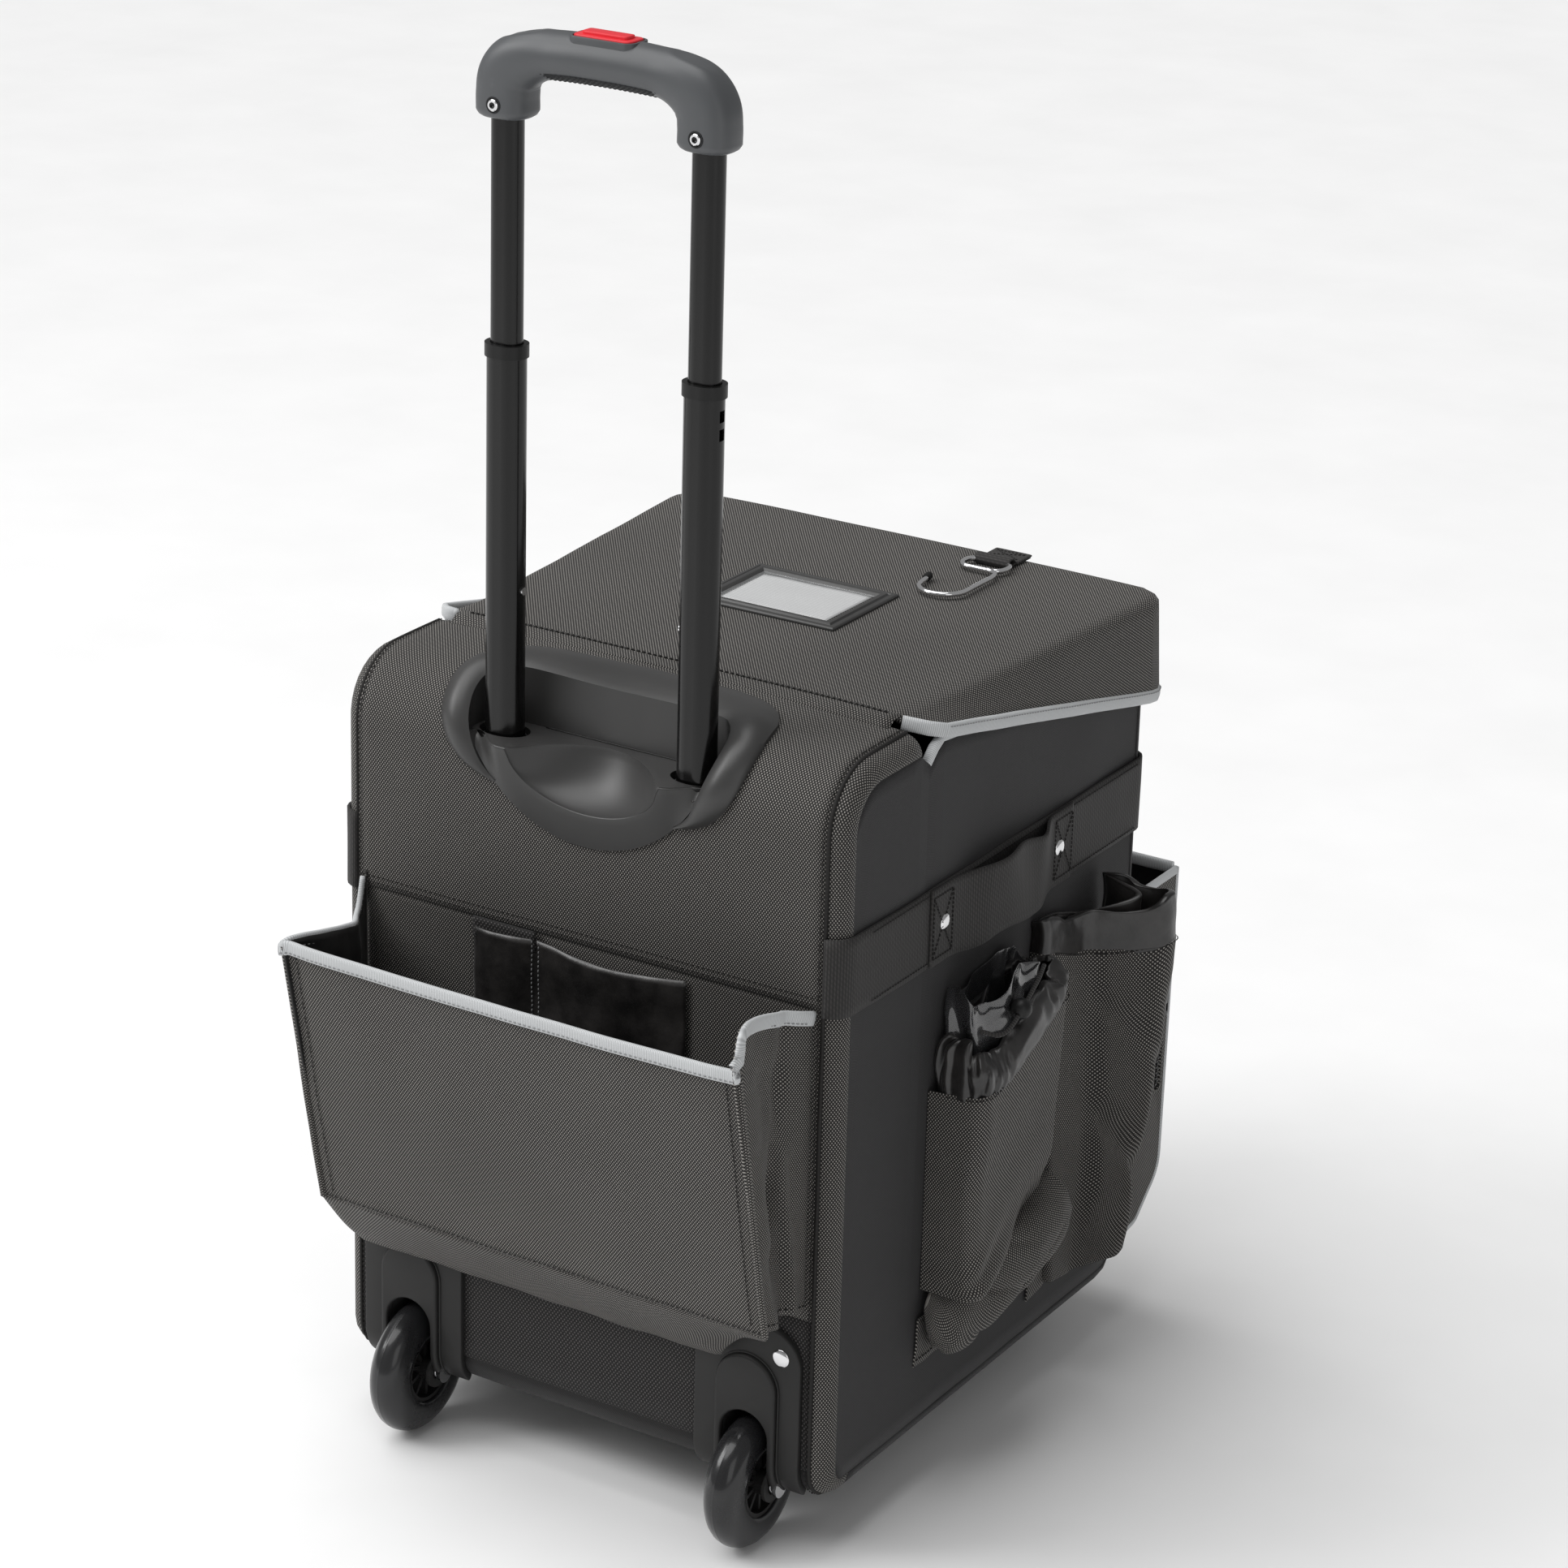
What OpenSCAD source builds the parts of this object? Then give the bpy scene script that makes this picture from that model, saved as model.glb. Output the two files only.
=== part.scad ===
// Rolling tool box: a soft-sided case on two wheels, with a telescopic handle,
// a hinged lid, a folding rear pocket, side pouches and a zipped front pocket.
// +Z is up, -Y is the handle and wheel side, +X is the pouch side.

/* [Case] */
// Outer width of the case
case_w = 362; // [350:1:380]
// Outer depth of the case, from its back to its front
case_d = 378; // [372:1:384]
// Height of the underside of the case above the floor
case_bottom = 40.6; // [40:0.2:42]
// Height of the top of the case behind the lid
case_top = 518.5; // [516:0.5:520]
// Radius of the rounded rear top edge
rear_r = 40; // [36:1:42]
// Radius of the two bottom edges
edge_r = 22; // [18:1:24]
// Thickness of the fabric-covered board panels
panel_t = 2.5; // [2:0.1:2.6]
// Depth of the lid from its hinge to its front edge
lid_d = 305; // [300:1:310]

/* [Handle] */
// Distance between the middles of the two handle legs
leg_gap = 138; // [134:1:142]
// Width of the middle tubes, left to right
middle_w = 25; // [24.6:0.1:25.2]
// Width of the upper tubes, left to right
upper_w = 20.5; // [20:0.1:20.8]
// Height of the top of the grip above the floor
grip_top = 923.9; // [923:0.1:925]
// How far the release button can be pushed in
button_travel = 4; // [3:0.5:4]

/* [Wheels] */
// Outer radius of the wheels
wheel_r = 44; // [43:0.5:46]
// Distance from the middle of the case to the middle of a wheel
wheel_x = 126.6; // [124:0.2:128]
// Radius of the wheel axles
axle_r = 4; // [3:0.5:4.5]

/* [Pockets] */
// How far the lip of the rear pocket stands out from the case
rear_lip = 92; // [80:1:96]
// How far the front pocket stands out from the case
front_depth = 58; // [50:1:62]
// Distance from the middle of the case to the face of the tall pouch
pouch_out = 243; // [236:1:246]

/* [Hidden] */

$fn = 64;
side_x = case_w / 2;
carry_bow = 16;                    // how far the carry handles stand out from the side panels
front_y = case_d + front_depth;
// The origin is the middle of the whole object's footprint, on the floor
origin_x = (pouch_out - side_x - carry_bow) / 2;
origin_y = (front_y - rear_lip) / 2;

side_t = 5;                        // side panels, with their padding
side_in = side_x - side_t;         // inner face of a side panel
seam_x = side_x - 11;              // edge of the corner bindings on the back
seam_z = 372;                      // seam across the back, under the handle
curve_z = case_bottom + edge_r;    // where the bottom edges' rounding ends
opening_back_z = 498;              // height of the side panels' top edge at the lid hinge
opening_front_z = 484;             // and at the front
opening_y = 95;                    // where that edge begins
binding_h = 3;

hinge_y = 89;
lid_under = 519.5;
lid_top = 525.5;
lid_rear_half = 160;
lid_front_half = 187;
lid_front_y = hinge_y + lid_d;
flap_t = 2.5;
flap_low_z = 456;                  // lower edge of the flaps at the front
window_x = -0.5;
window_y = 235.5;
window_w = 105;
window_d = 81;
window_rim = 11;

leg_x = leg_gap / 2;
leg_y = 14;
cup_floor_z = 490;
cup_x = 95;                        // half width of the handle recess
cup_wall_y = 31;
cup_t = 3;
bezel_t = 5;
bezel_half = 122;
fixed_low_z = 188;
fixed_high_z = cup_floor_z - 4;
middle_low_z = 425;
middle_high_z = 725;
collar_high_z = 733;
upper_low_z = 565;
upper_high_z = 886;
pin_z = 581;
pin_reach = 1.0;
boss_low_z = 869;
bar_r = 14.5;
bar_z = grip_top - bar_r;
button_w = 40;
button_d = 17;
button_top = 926;
button_low_z = 916;
button_floor_z = button_low_z - button_travel - 1;
screw_z = 877;

wheel_y = 2;
well_r = 51;                       // clearance circle around a wheel
well_half = 16.6;                  // half width of the space for a wheel
well_wall = 3;
axle_head_r = 6.5;
axle_head_t = 2.5;
tyre_half = 12;                     // half the tyre's width
hub_r = 22.5;                       // outside of the hub's rim
plate_in = 88;                     // inner edge of a wheel housing's face plate
plate_out = 163.5;
plate_high_z = 155;
plate_t = 5;
fender_t = 4;
fender_half = 21.5;
foot_x = 110;
foot_y = 335;

strap_z = 367;
strap_w = 50;
strap_t = 2;
carry_from = 122;                  // where the carry handle leaves the strap
carry_to = 248;
carry_tab = 24;

pouch_x = side_x + 0.3;            // back of the side pouches
collar_z = 312;
cord_r = 1.4;
cord_sides = 8;
cord_route = [[216, 186, 345], [220, 168, 339], [224, 126, 324.5], [214, 112, 327]];
zip_y = case_d + 43;
zip_low_z = 160;
zip_high_z = 250;

fold_y = -11;                      // hinge line of the rear pocket
fold_z = 128;
pocket_low = [-50, 174];           // lower front edge of the rear pocket
pocket_high = [4.5 - rear_lip, 361];
pocket_half = 165;
pocket_t = 3;

hook_z = lid_top + 3.5;
hook_y = 366;                      // the bar that the hook turns on
hook_left = 53;
hook_right = 86;
hook_wire = 1.75;
hook_bend_y = 303;
hook_end_y = 312;

// ---- helpers ----

module placed() translate([-origin_x, -origin_y, 0]) children();
module both_sides() { children(); mirror([1, 0, 0]) children(); }

// A profile drawn in Y and Z, run across the object from x0 to x1
module across(x0, x1) translate([x0, 0, 0]) rotate([90, 0, 90]) linear_extrude(x1 - x0) children();

// A box between two opposite corners
module block(low, high) translate(low) cube(high - low);

// A round bar between two points
module bar(from, to, r) {
  way = to - from;
  turn = atan2(way.y, way.x);
  tilt = acos(way.z / norm(way));
  translate(from) rotate([0, tilt, turn]) cylinder(r = r, h = norm(way));
}

// What rounding takes off a corner: at is the corner, dir points inward
module corner(at, r, dir) {
  middle = at + r * dir;
  difference() {
    translate([min(at.x - dir.x, middle.x), min(at.y - dir.y, middle.y)]) square(r + 1);
    translate(middle) circle(r);
  }
}

// Side view of the case, drawn in Y and Z
module case_outline(inset = 0) {
  low = [inset, case_bottom + inset];
  high = [case_d - inset, case_top - inset];
  difference() {
    translate(low) square(high - low);
    corner([low.x, high.y], rear_r - inset, [1, -1]);
    corner(low, edge_r - inset, [1, 1]);
    corner([high.x, low.y], edge_r - inset, [-1, 1]);
  }
}
module case_skin(t = panel_t) difference() { case_outline(); case_outline(t); }

// A flat-sided oval, w wide and d deep
module oval(w, d) {
  square([w - d, d], center = true);
  for (s = [-1, 1]) translate([s * (w - d) / 2, 0]) circle(d = d);
}
module oval_tube(w, d, wall, z0, z1) translate([0, 0, z0]) linear_extrude(z1 - z0)
  difference() { oval(w, d); oval(w - 2 * wall, d - 2 * wall); }
module on_legs() both_sides() translate([leg_x, leg_y, 0]) children();

module rounded_plate(w, h, r) {
  square([w - 2 * r, h], center = true);
  square([w, h - 2 * r], center = true);
  for (i = [-1, 1], j = [-1, 1]) translate([i * (w / 2 - r), j * (h / 2 - r)]) circle(r);
}

// ---- case ----

module upper_back_panel() color([0.27, 0.26, 0.25]) difference() {
  across(-seam_x, seam_x) intersection() {
    case_skin();
    translate([-1, seam_z]) square([hinge_y - 1, case_top]);
  }
  block([-cup_x - cup_t - 0.5, -1, fixed_high_z - 0.5], [cup_x + cup_t + 0.5, cup_wall_y + cup_t + 0.5, 600]);
}

module well_cutouts() {
  both_sides()
    block([wheel_x - well_half - well_wall - 0.5, -1, 0], [wheel_x + well_half + well_wall + 0.5, 60, 101]);
  both_sides() block([wheel_x - well_half - well_wall - 3.5, -1, 30], [wheel_x + well_half + well_wall + 3.5, 10, 60]);
}

module lower_back_panel() color([0.18, 0.17, 0.17]) difference() {
  block([-seam_x, 0, curve_z], [seam_x, panel_t, seam_z]);
  well_cutouts();
}

module side_panel() across(side_in, side_x) difference() {
  case_outline();
  polygon([[opening_y - 5, 600], [opening_y, opening_back_z], [case_d + 1, opening_front_z], [case_d + 1, 600]]);
}
module side_panel_left() color([0.17, 0.17, 0.17]) mirror([1, 0, 0]) side_panel();
module side_panel_right() color([0.17, 0.17, 0.17]) side_panel();

module front_panel() color([0.27, 0.26, 0.25])
  block([-side_in, case_d - panel_t, curve_z], [side_in, case_d, opening_front_z]);

module bottom_panel() color([0.15, 0.15, 0.15]) difference() {
  across(-side_in, side_in) intersection() {
    case_skin();
    translate([-1, 0]) square([case_d + 2, curve_z]);
  }
  well_cutouts();
}

module rear_bindings() color([0.3, 0.29, 0.28]) both_sides() across(seam_x, side_in) intersection() {
  case_skin();
  translate([-1, curve_z]) square([hinge_y - 1, case_top]);
}

module opening_binding() color([0.75, 0.75, 0.75]) {
  both_sides() across(side_in, side_x) polygon([
    [opening_y, opening_back_z + 0.1], [case_d, opening_front_z + 0.1],
    [case_d, opening_front_z + binding_h], [opening_y, opening_back_z + binding_h]]);
  block([-side_in, case_d - panel_t, opening_front_z], [side_in, case_d, opening_front_z + binding_h]);
}

module inner_liner() color([0.1, 0.1, 0.1]) block([-seam_x, 30, 104], [seam_x, 31.5, 478]);

module front_feet() color([0.12, 0.12, 0.12]) both_sides() translate([foot_x, foot_y, 0])
  linear_extrude(case_bottom) rounded_plate(46, 30, 8);

// ---- handle recess and tubes ----

// Front view of the recess surround: a round lower lip between two wings
module bezel_face() {
  translate([0, 540]) circle(104);
  polygon([[-75, 466], [-108, 488], [-bezel_half, 518], [-112, 560], [112, 560],
    [bezel_half, 518], [108, 488], [75, 466]]);
}
module handle_bezel() color([0.2, 0.2, 0.2]) difference() {
  intersection() {
    across(-bezel_half, bezel_half) intersection() {
      difference() { case_outline(-bezel_t); case_outline(); }
      translate([-bezel_t - 1, 430]) square([bezel_t + 57, 200]);
    }
    translate([0, 100, 0]) rotate([90, 0, 0]) linear_extrude(200) bezel_face();
  }
  block([-cup_x, -20, cup_floor_z], [cup_x, cup_wall_y, 600]);
}
module bezel_cup() color([0.16, 0.16, 0.16]) difference() {
  union() {
    block([-cup_x - cup_t, panel_t + 0.2, fixed_high_z], [cup_x + cup_t, cup_wall_y + cup_t, cup_floor_z]);
    block([-cup_x - cup_t, cup_wall_y, cup_floor_z], [cup_x + cup_t, cup_wall_y + cup_t, 516]);
    intersection() {
      both_sides() block([cup_x, 0, cup_floor_z], [cup_x + cup_t, cup_wall_y, 516]);
      across(-200, 200) case_outline(1);
    }
  }
  on_legs() translate([0, 0, fixed_high_z - 1]) linear_extrude(10) oval(33, 22);
}
module fixed_tubes() color([0.5, 0.5, 0.52])
  on_legs() oval_tube(middle_w + 4.6, 22.6, 0.9, fixed_low_z, fixed_high_z);
module tube_bracket() color([0.12, 0.12, 0.12])
  block([-leg_x - 24, panel_t, fixed_low_z - 12], [leg_x + 24, 27, fixed_low_z]);

module middle_tubes() color([0.05, 0.05, 0.05]) on_legs() difference() {
  oval_tube(middle_w, 19.5, 1.5, middle_low_z, middle_high_z);
  for (z = [700, 711]) block([0, -2.5, z], [middle_w, 2.5, z + 7]);
}
module middle_collars() color([0.1, 0.1, 0.1]) on_legs() difference() {
  translate([0, 0, middle_high_z]) linear_extrude(collar_high_z - middle_high_z) oval(middle_w + 2.5, 22);
  translate([0, 0, middle_high_z - 1]) linear_extrude(20) oval(upper_w + 0.6, 15.6);
}
module lock_pins() color([0.8, 0.8, 0.8]) both_sides() translate([leg_x - middle_w / 2 - pin_reach, leg_y, pin_z])
  rotate([0, 90, 0]) cylinder(r = 2.4, h = pin_reach);
module upper_tubes() color([0.05, 0.05, 0.05]) on_legs() oval_tube(upper_w, 15, 1.5, upper_low_z, upper_high_z);
module push_rods() color([0.6, 0.6, 0.6])
  on_legs() translate([0, 0, upper_low_z + 2]) cylinder(r = 2, h = upper_high_z - upper_low_z - 4);

// ---- grip ----

module grip_boss() hull() {
  translate([leg_x, leg_y, boss_low_z]) linear_extrude(1) oval(33, 27);
  translate([leg_x - 5, leg_y, bar_z - 10]) sphere(17, $fn = 32);
}
module grip_arm() hull() for (p = [[leg_x - 12, bar_z - 5.5], [25, bar_z]])
  translate([p.x, leg_y, p.y]) sphere(bar_r, $fn = 32);
module grip_body() color([0.22, 0.22, 0.23]) difference() {
  union() {
    both_sides() { grip_boss(); grip_arm(); }
    hull() both_sides() translate([25, leg_y, bar_z]) sphere(bar_r, $fn = 32);
  }
  block([-button_w / 2 - 0.5, leg_y - button_d / 2 - 0.5, button_floor_z],
    [button_w / 2 + 0.5, leg_y + button_d / 2 + 0.5, 950]);
  on_legs() translate([0, 0, boss_low_z - 1]) linear_extrude(upper_high_z - boss_low_z + 1.2)
    oval(upper_w + 0.2, 15.2);
  both_sides() bar([leg_x, -10, screw_z], [leg_x, 2.6, screw_z], 3.6);
}
module grip_screws() color([0.8, 0.8, 0.8]) both_sides() difference() {
  bar([leg_x, 0.4, screw_z], [leg_x, 2.6, screw_z], 3.3);
  translate([leg_x, 1.8, screw_z]) rotate([90, 0, 0]) cylinder(r = 1.8, h = 3, $fn = 6);
}
module release_button() color([0.9, 0.1, 0.15]) translate([0, leg_y, button_low_z])
  linear_extrude(button_top - button_low_z) rounded_plate(button_w, button_d, 4);
module button_spring() color([0.7, 0.7, 0.7]) for (z = [button_floor_z + 0.7, button_low_z - 2.5, button_low_z - 0.7])
  translate([0, leg_y, z]) rotate_extrude() translate([3.5, 0]) circle(0.6, $fn = 24);

// ---- wheels ----

module wheel_housing() difference() {
  union() {
    translate([(plate_in + plate_out) / 2, 0, (42 + plate_high_z) / 2]) rotate([90, 0, 0])
      linear_extrude(plate_t) rounded_plate(plate_out - plate_in, plate_high_z - 42, 20);
    translate([wheel_x, -plate_t, 0]) rotate([90, 0, 0]) linear_extrude(fender_t) {
      translate([0, 111.5]) circle(fender_half);
      translate([-fender_half, 60]) square([2 * fender_half, 51.5]);
    }
    block([wheel_x - well_half - well_wall, 0, case_bottom], [wheel_x + well_half + well_wall, 58, 99]);
    translate([wheel_x - well_half - well_wall, wheel_y, wheel_r]) rotate([0, 90, 0])
      cylinder(r = 11, h = 2 * (well_half + well_wall));
  }
  translate([wheel_x - well_half, wheel_y, wheel_r]) rotate([0, 90, 0]) cylinder(r = well_r, h = 2 * well_half);
  block([wheel_x - well_half, wheel_y - well_r, 0], [wheel_x + well_half, wheel_y + well_r, wheel_r]);
  translate([0, wheel_y, wheel_r]) rotate([0, 90, 0]) cylinder(r = axle_r, h = 200);
  both_heads() cylinder(r = axle_head_r + 0.2, h = axle_head_t + 0.2);
}
// The places just outside a housing where its axle's two heads sit
module both_heads() translate([wheel_x, wheel_y, wheel_r]) for (side = [0, 180])
  rotate([0, 90 + side, 0]) translate([0, 0, well_half + well_wall]) children();
module wheel_housing_left() color([0.2, 0.2, 0.2]) mirror([1, 0, 0]) wheel_housing();
module wheel_housing_right() color([0.2, 0.2, 0.2]) wheel_housing();

module wheel_axles() color([0.8, 0.8, 0.8]) both_sides() translate([wheel_x, wheel_y, wheel_r]) rotate([0, 90, 0]) {
  reach = well_half + well_wall;
  translate([0, 0, -reach]) cylinder(r = axle_r, h = 2 * reach);
  for (z = [reach, -reach - axle_head_t]) translate([0, 0, z]) cylinder(r = axle_head_r, h = axle_head_t);
  for (z = [-well_half, well_half - 3]) translate([0, 0, z]) cylinder(r = 6, h = 3);
}

module tyre() rotate([0, 90, 0]) rotate_extrude() intersection() {
  union() {
    translate([wheel_r - tyre_half, 0]) circle(tyre_half);
    translate([hub_r, -tyre_half]) square([wheel_r - tyre_half - hub_r, 2 * tyre_half]);
  }
  translate([hub_r + 0.05, -tyre_half]) square(wheel_r);
}
module hub() rotate([0, 90, 0]) difference() {
  union() {
    difference() {
      cylinder(r = hub_r, h = 20, center = true);
      cylinder(r = hub_r - 2.7, h = 21, center = true);
    }
    for (a = [0:36:324]) rotate(a) translate([6, -1.2, -7]) cube([14.5, 2.4, 14]);
    cylinder(r = 8, h = 2 * well_half - 6.4, center = true);
  }
  cylinder(r = axle_r + 0.05, h = 40, center = true);
}
module at_wheel(side) translate([side * wheel_x, wheel_y, wheel_r]) children();
module tyre_left() color([0.1, 0.1, 0.1]) at_wheel(-1) tyre();
module tyre_right() color([0.1, 0.1, 0.1]) at_wheel(1) tyre();
module hub_left() color([0.15, 0.15, 0.15]) at_wheel(-1) hub();
module hub_right() color([0.15, 0.15, 0.15]) at_wheel(1) hub();

// ---- straps and carry handles ----

module side_straps() color([0.12, 0.12, 0.12]) both_sides()
  block([side_x, 14, strap_z], [side_x + strap_t, case_d, strap_z + strap_w]);
module carry_handle() translate([0, 0, strap_z]) linear_extrude(strap_w) {
  face = side_x + strap_t;
  half = (carry_to - carry_from) / 2;
  rise = carry_bow - 2 * strap_t;
  r = (half * half + rise * rise) / (2 * rise);
  intersection() {
    translate([face + rise - r, carry_from + half]) difference() { circle(r + strap_t, $fn = 128); circle(r, $fn = 128); }
    translate([face, carry_from - 6]) square([carry_bow + 2, 2 * half + 12]);
  }
  for (y = [carry_from - carry_tab, carry_to]) translate([face, y]) square([strap_t, carry_tab]);
}
module carry_handle_left() color([0.12, 0.12, 0.12]) mirror([1, 0, 0]) carry_handle();
module carry_handle_right() color([0.12, 0.12, 0.12]) carry_handle();

module rivets() color([0.85, 0.85, 0.85]) {
  both_sides() for (y = [carry_from - 9, carry_to + 9])
    bar([side_x + 2 * strap_t, y, strap_z + strap_w / 2], [side_x + 2 * strap_t + 2.2, y, strap_z + strap_w / 2], 5);
  both_sides() bar([150, -plate_t - 2.5, 137], [150, -plate_t, 137], 6);
}

// ---- side pouches ----

module liner_pouch_form(inset) hull() {
  block([pouch_x + inset, 106 + inset, 300], [pouch_x + 45 - inset, 214 - inset, collar_z + inset]);
  block([pouch_x + inset, 106 + inset, 150], [pouch_x + 38 - inset, 212 - inset, 170]);
  block([pouch_x + inset, 112 + inset, 92 + inset], [pouch_x + 12 - inset, 190 - inset, 104]);
}
module liner_pouch() color([0.27, 0.26, 0.25]) difference() {
  liner_pouch_form(0);
  liner_pouch_form(panel_t);
}
module ring_of(low, high, t) difference() {
  block(low, high);
  block([low.x + t, low.y + t, low.z - 1], [high.x - t, high.y - t, high.z + 1]);
}
module liner_pouch_collar() color([0.08, 0.08, 0.08])
  ring_of([pouch_x, 108, collar_z], [pouch_x + 44, 212, collar_z + 9], 3);
module liner_bag() color([0.8, 0.8, 0.8, 0.4])
  ring_of([pouch_x + 4, 112, collar_z - 60], [pouch_x + 31, 196, collar_z + 53], 1);
function unit(v) = v / norm(v);
// A tube with cord_sides flat sides that follows cord_route
module drawcord() color([0.05, 0.05, 0.05]) {
  last = len(cord_route) - 1;
  points = [for (i = [0:last])
    let (along = unit(cord_route[min(i + 1, last)] - cord_route[max(i - 1, 0)]),
      a = unit(cross(along, [1, 0, 0])), b = cross(along, a))
    for (k = [0:cord_sides - 1]) let (turn = 360 * k / cord_sides)
      cord_route[i] + cord_r * (a * cos(turn) + b * sin(turn))];
  walls = [for (i = [0:last - 1], k = [0:cord_sides - 1])
    let (n = (k + 1) % cord_sides, low = i * cord_sides, high = low + cord_sides)
    [low + k, high + k, high + n, low + n]];
  ends = [[for (k = [0:cord_sides - 1]) k], [for (k = [cord_sides - 1:-1:0]) last * cord_sides + k]];
  polyhedron(points, concat(walls, ends));
}
module cord_lock() color([0.05, 0.05, 0.05]) difference() {
  translate((cord_route[1] + cord_route[2]) / 2) sphere(7);
  bar(cord_route[1], cord_route[2], cord_r + 0.3);
}

module tall_pouch_form(inset) hull() {
  block([pouch_x + inset, 230 + inset, 310], [pouch_out - inset, 326 - inset, 325 + inset]);
  block([pouch_x + inset, 240 + inset, 180], [pouch_out - 12 - inset, 326 - inset, 200]);
  block([pouch_x + inset, 262 + inset, 78 + inset], [pouch_x + 24 - inset, 320 - inset, 92]);
}
module tall_pouch() color([0.27, 0.26, 0.25]) difference() {
  tall_pouch_form(0);
  tall_pouch_form(panel_t);
}
module tall_pouch_band() color([0.08, 0.08, 0.08])
  ring_of([pouch_x, 230, 325], [pouch_out, 326, 352], panel_t);

// ---- front pocket ----

// Side view of the front pocket, drawn in Y and Z
module pocket_outline(inset, top) difference() {
  translate([case_d + 0.2, 66 + inset]) square([front_depth - 1.2 - inset, top - 66 - inset]);
  corner([front_y - 1 - inset, 66 + inset], 50 - inset, [-1, 1]);
}
module front_pocket_panel() color([0.27, 0.26, 0.25]) across(-side_x, side_x)
  difference() { pocket_outline(0, 318); pocket_outline(panel_t, 320); }
module front_pocket_gussets() color([0.27, 0.26, 0.25]) difference() {
  both_sides() across(side_x, side_x + panel_t) pocket_outline(0, 318);
  block([side_x - 1, zip_y - 4, zip_low_z], [side_x + 10, zip_y + 4, zip_high_z]);
}
module front_pocket_piping() color([0.75, 0.75, 0.75]) {
  both_sides() across(side_x, side_x + panel_t) difference() {
    pocket_outline(-1, 318);
    pocket_outline(0, 330);
    translate([0, 150]) square([600, 300]);
    translate([case_d - 5, 0]) square([8, 300]);
  }
  difference() {
    block([-side_x - panel_t, case_d + 0.2, 318], [side_x + panel_t, front_y - 1, 321]);
    block([-side_x, case_d - 1, 317], [side_x, front_y - 1 - panel_t, 322]);
  }
}
module zipper_chain() color([0.05, 0.05, 0.05])
  block([side_x + 0.6, zip_y - 3.9, zip_low_z + 0.1], [side_x + 2.2, zip_y + 3.9, zip_high_z - 0.1]);
module zipper_slider() color([0.1, 0.1, 0.1]) {
  block([side_x + 2.8, zip_y - 4, zip_high_z - 14], [side_x + 5, zip_y + 4, zip_high_z - 3]);
  block([side_x + 5, zip_y - 2.5, zip_high_z - 34], [side_x + 6.4, zip_y + 2.5, zip_high_z - 6]);
}

// ---- rear pocket ----

module organizer_pouch() color([0.06, 0.06, 0.06]) block([-80, -9, 235], [75, -0.5, 366]);
module rear_pocket_front() color([0.27, 0.26, 0.25]) across(-pocket_half, pocket_half)
  polygon([pocket_low, pocket_high, pocket_high + [pocket_t, 0], pocket_low + [pocket_t, 0]]);
module rear_pocket_bottom() color([0.27, 0.26, 0.25]) across(-pocket_half, pocket_half)
  polygon([[fold_y, fold_z], pocket_low, pocket_low + [pocket_t, 0], [fold_y + 0.9, fold_z + 1.9]]);
module rear_pocket_binding() color([0.75, 0.75, 0.75]) across(-pocket_half, pocket_half)
  translate([-rear_lip, pocket_high.y]) square([8.5, 5]);
module rear_pocket_gussets() color([0.25, 0.24, 0.23]) both_sides() across(pocket_half - 3, pocket_half - 1.5)
  polygon([[-7, fold_z + 5], pocket_low + [pocket_t + 2.5, 2], pocket_high + [pocket_t + 1, -1], [-3, seam_z]]);

// ---- lid ----

module lid_panel() color([0.3, 0.29, 0.28]) translate([0, 0, lid_under]) linear_extrude(lid_top - lid_under)
  polygon([[-lid_rear_half, hinge_y], [lid_rear_half, hinge_y], [lid_front_half, lid_front_y - 14],
    [lid_front_half - 11, lid_front_y - 3], [11 - lid_front_half, lid_front_y - 3], [-lid_front_half, lid_front_y - 14]]);
module lid_flaps() color([0.22, 0.22, 0.22]) {
  rear_top = [lid_rear_half + 1, hinge_y + 6, lid_under - 2];
  front_top = [lid_front_half, lid_front_y - 13, lid_under - 2];
  front_low = [lid_front_half + 3, lid_front_y - 6, flap_low_z];
  rear_low = [lid_front_half - 2, hinge_y + 46, flap_low_z + 50];
  both_sides() for (corners = [[rear_top, front_top, rear_low], [front_top, front_low, rear_low]])
    hull() for (p = corners) translate(p) cube(flap_t, center = true);
  block([1 - lid_front_half, lid_front_y - flap_t, flap_low_z], [lid_front_half - 1, lid_front_y, lid_top]);
}
module lid_piping() color([0.75, 0.75, 0.75]) {
  both_sides() bar([lid_front_half - 2, hinge_y + 46, flap_low_z + 46],
    [lid_front_half + 3, lid_front_y - 6, flap_low_z - 4.1], 1.8);
  bar([1 - lid_front_half, lid_front_y - 1.8, flap_low_z - 2], [lid_front_half - 1, lid_front_y - 1.8, flap_low_z - 2], 1.8);
}
module window_frame() color([0.12, 0.12, 0.12]) translate([window_x, window_y, lid_top]) linear_extrude(4)
  difference() {
    square([window_w, window_d], center = true);
    square([window_w - 2 * window_rim, window_d - 2 * window_rim], center = true);
  }
module window_fill(z, h, gap) translate([window_x, window_y, z]) linear_extrude(h)
  square([window_w - 2 * window_rim - gap, window_d - 2 * window_rim - gap], center = true);
module label_window() color([0.8, 0.9, 0.95, 0.3]) window_fill(lid_top + 1, 1, 0.2);
module label_card() color([0.7, 0.7, 0.7]) window_fill(lid_top, 0.8, 2);

// ---- lid hook ----

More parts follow.
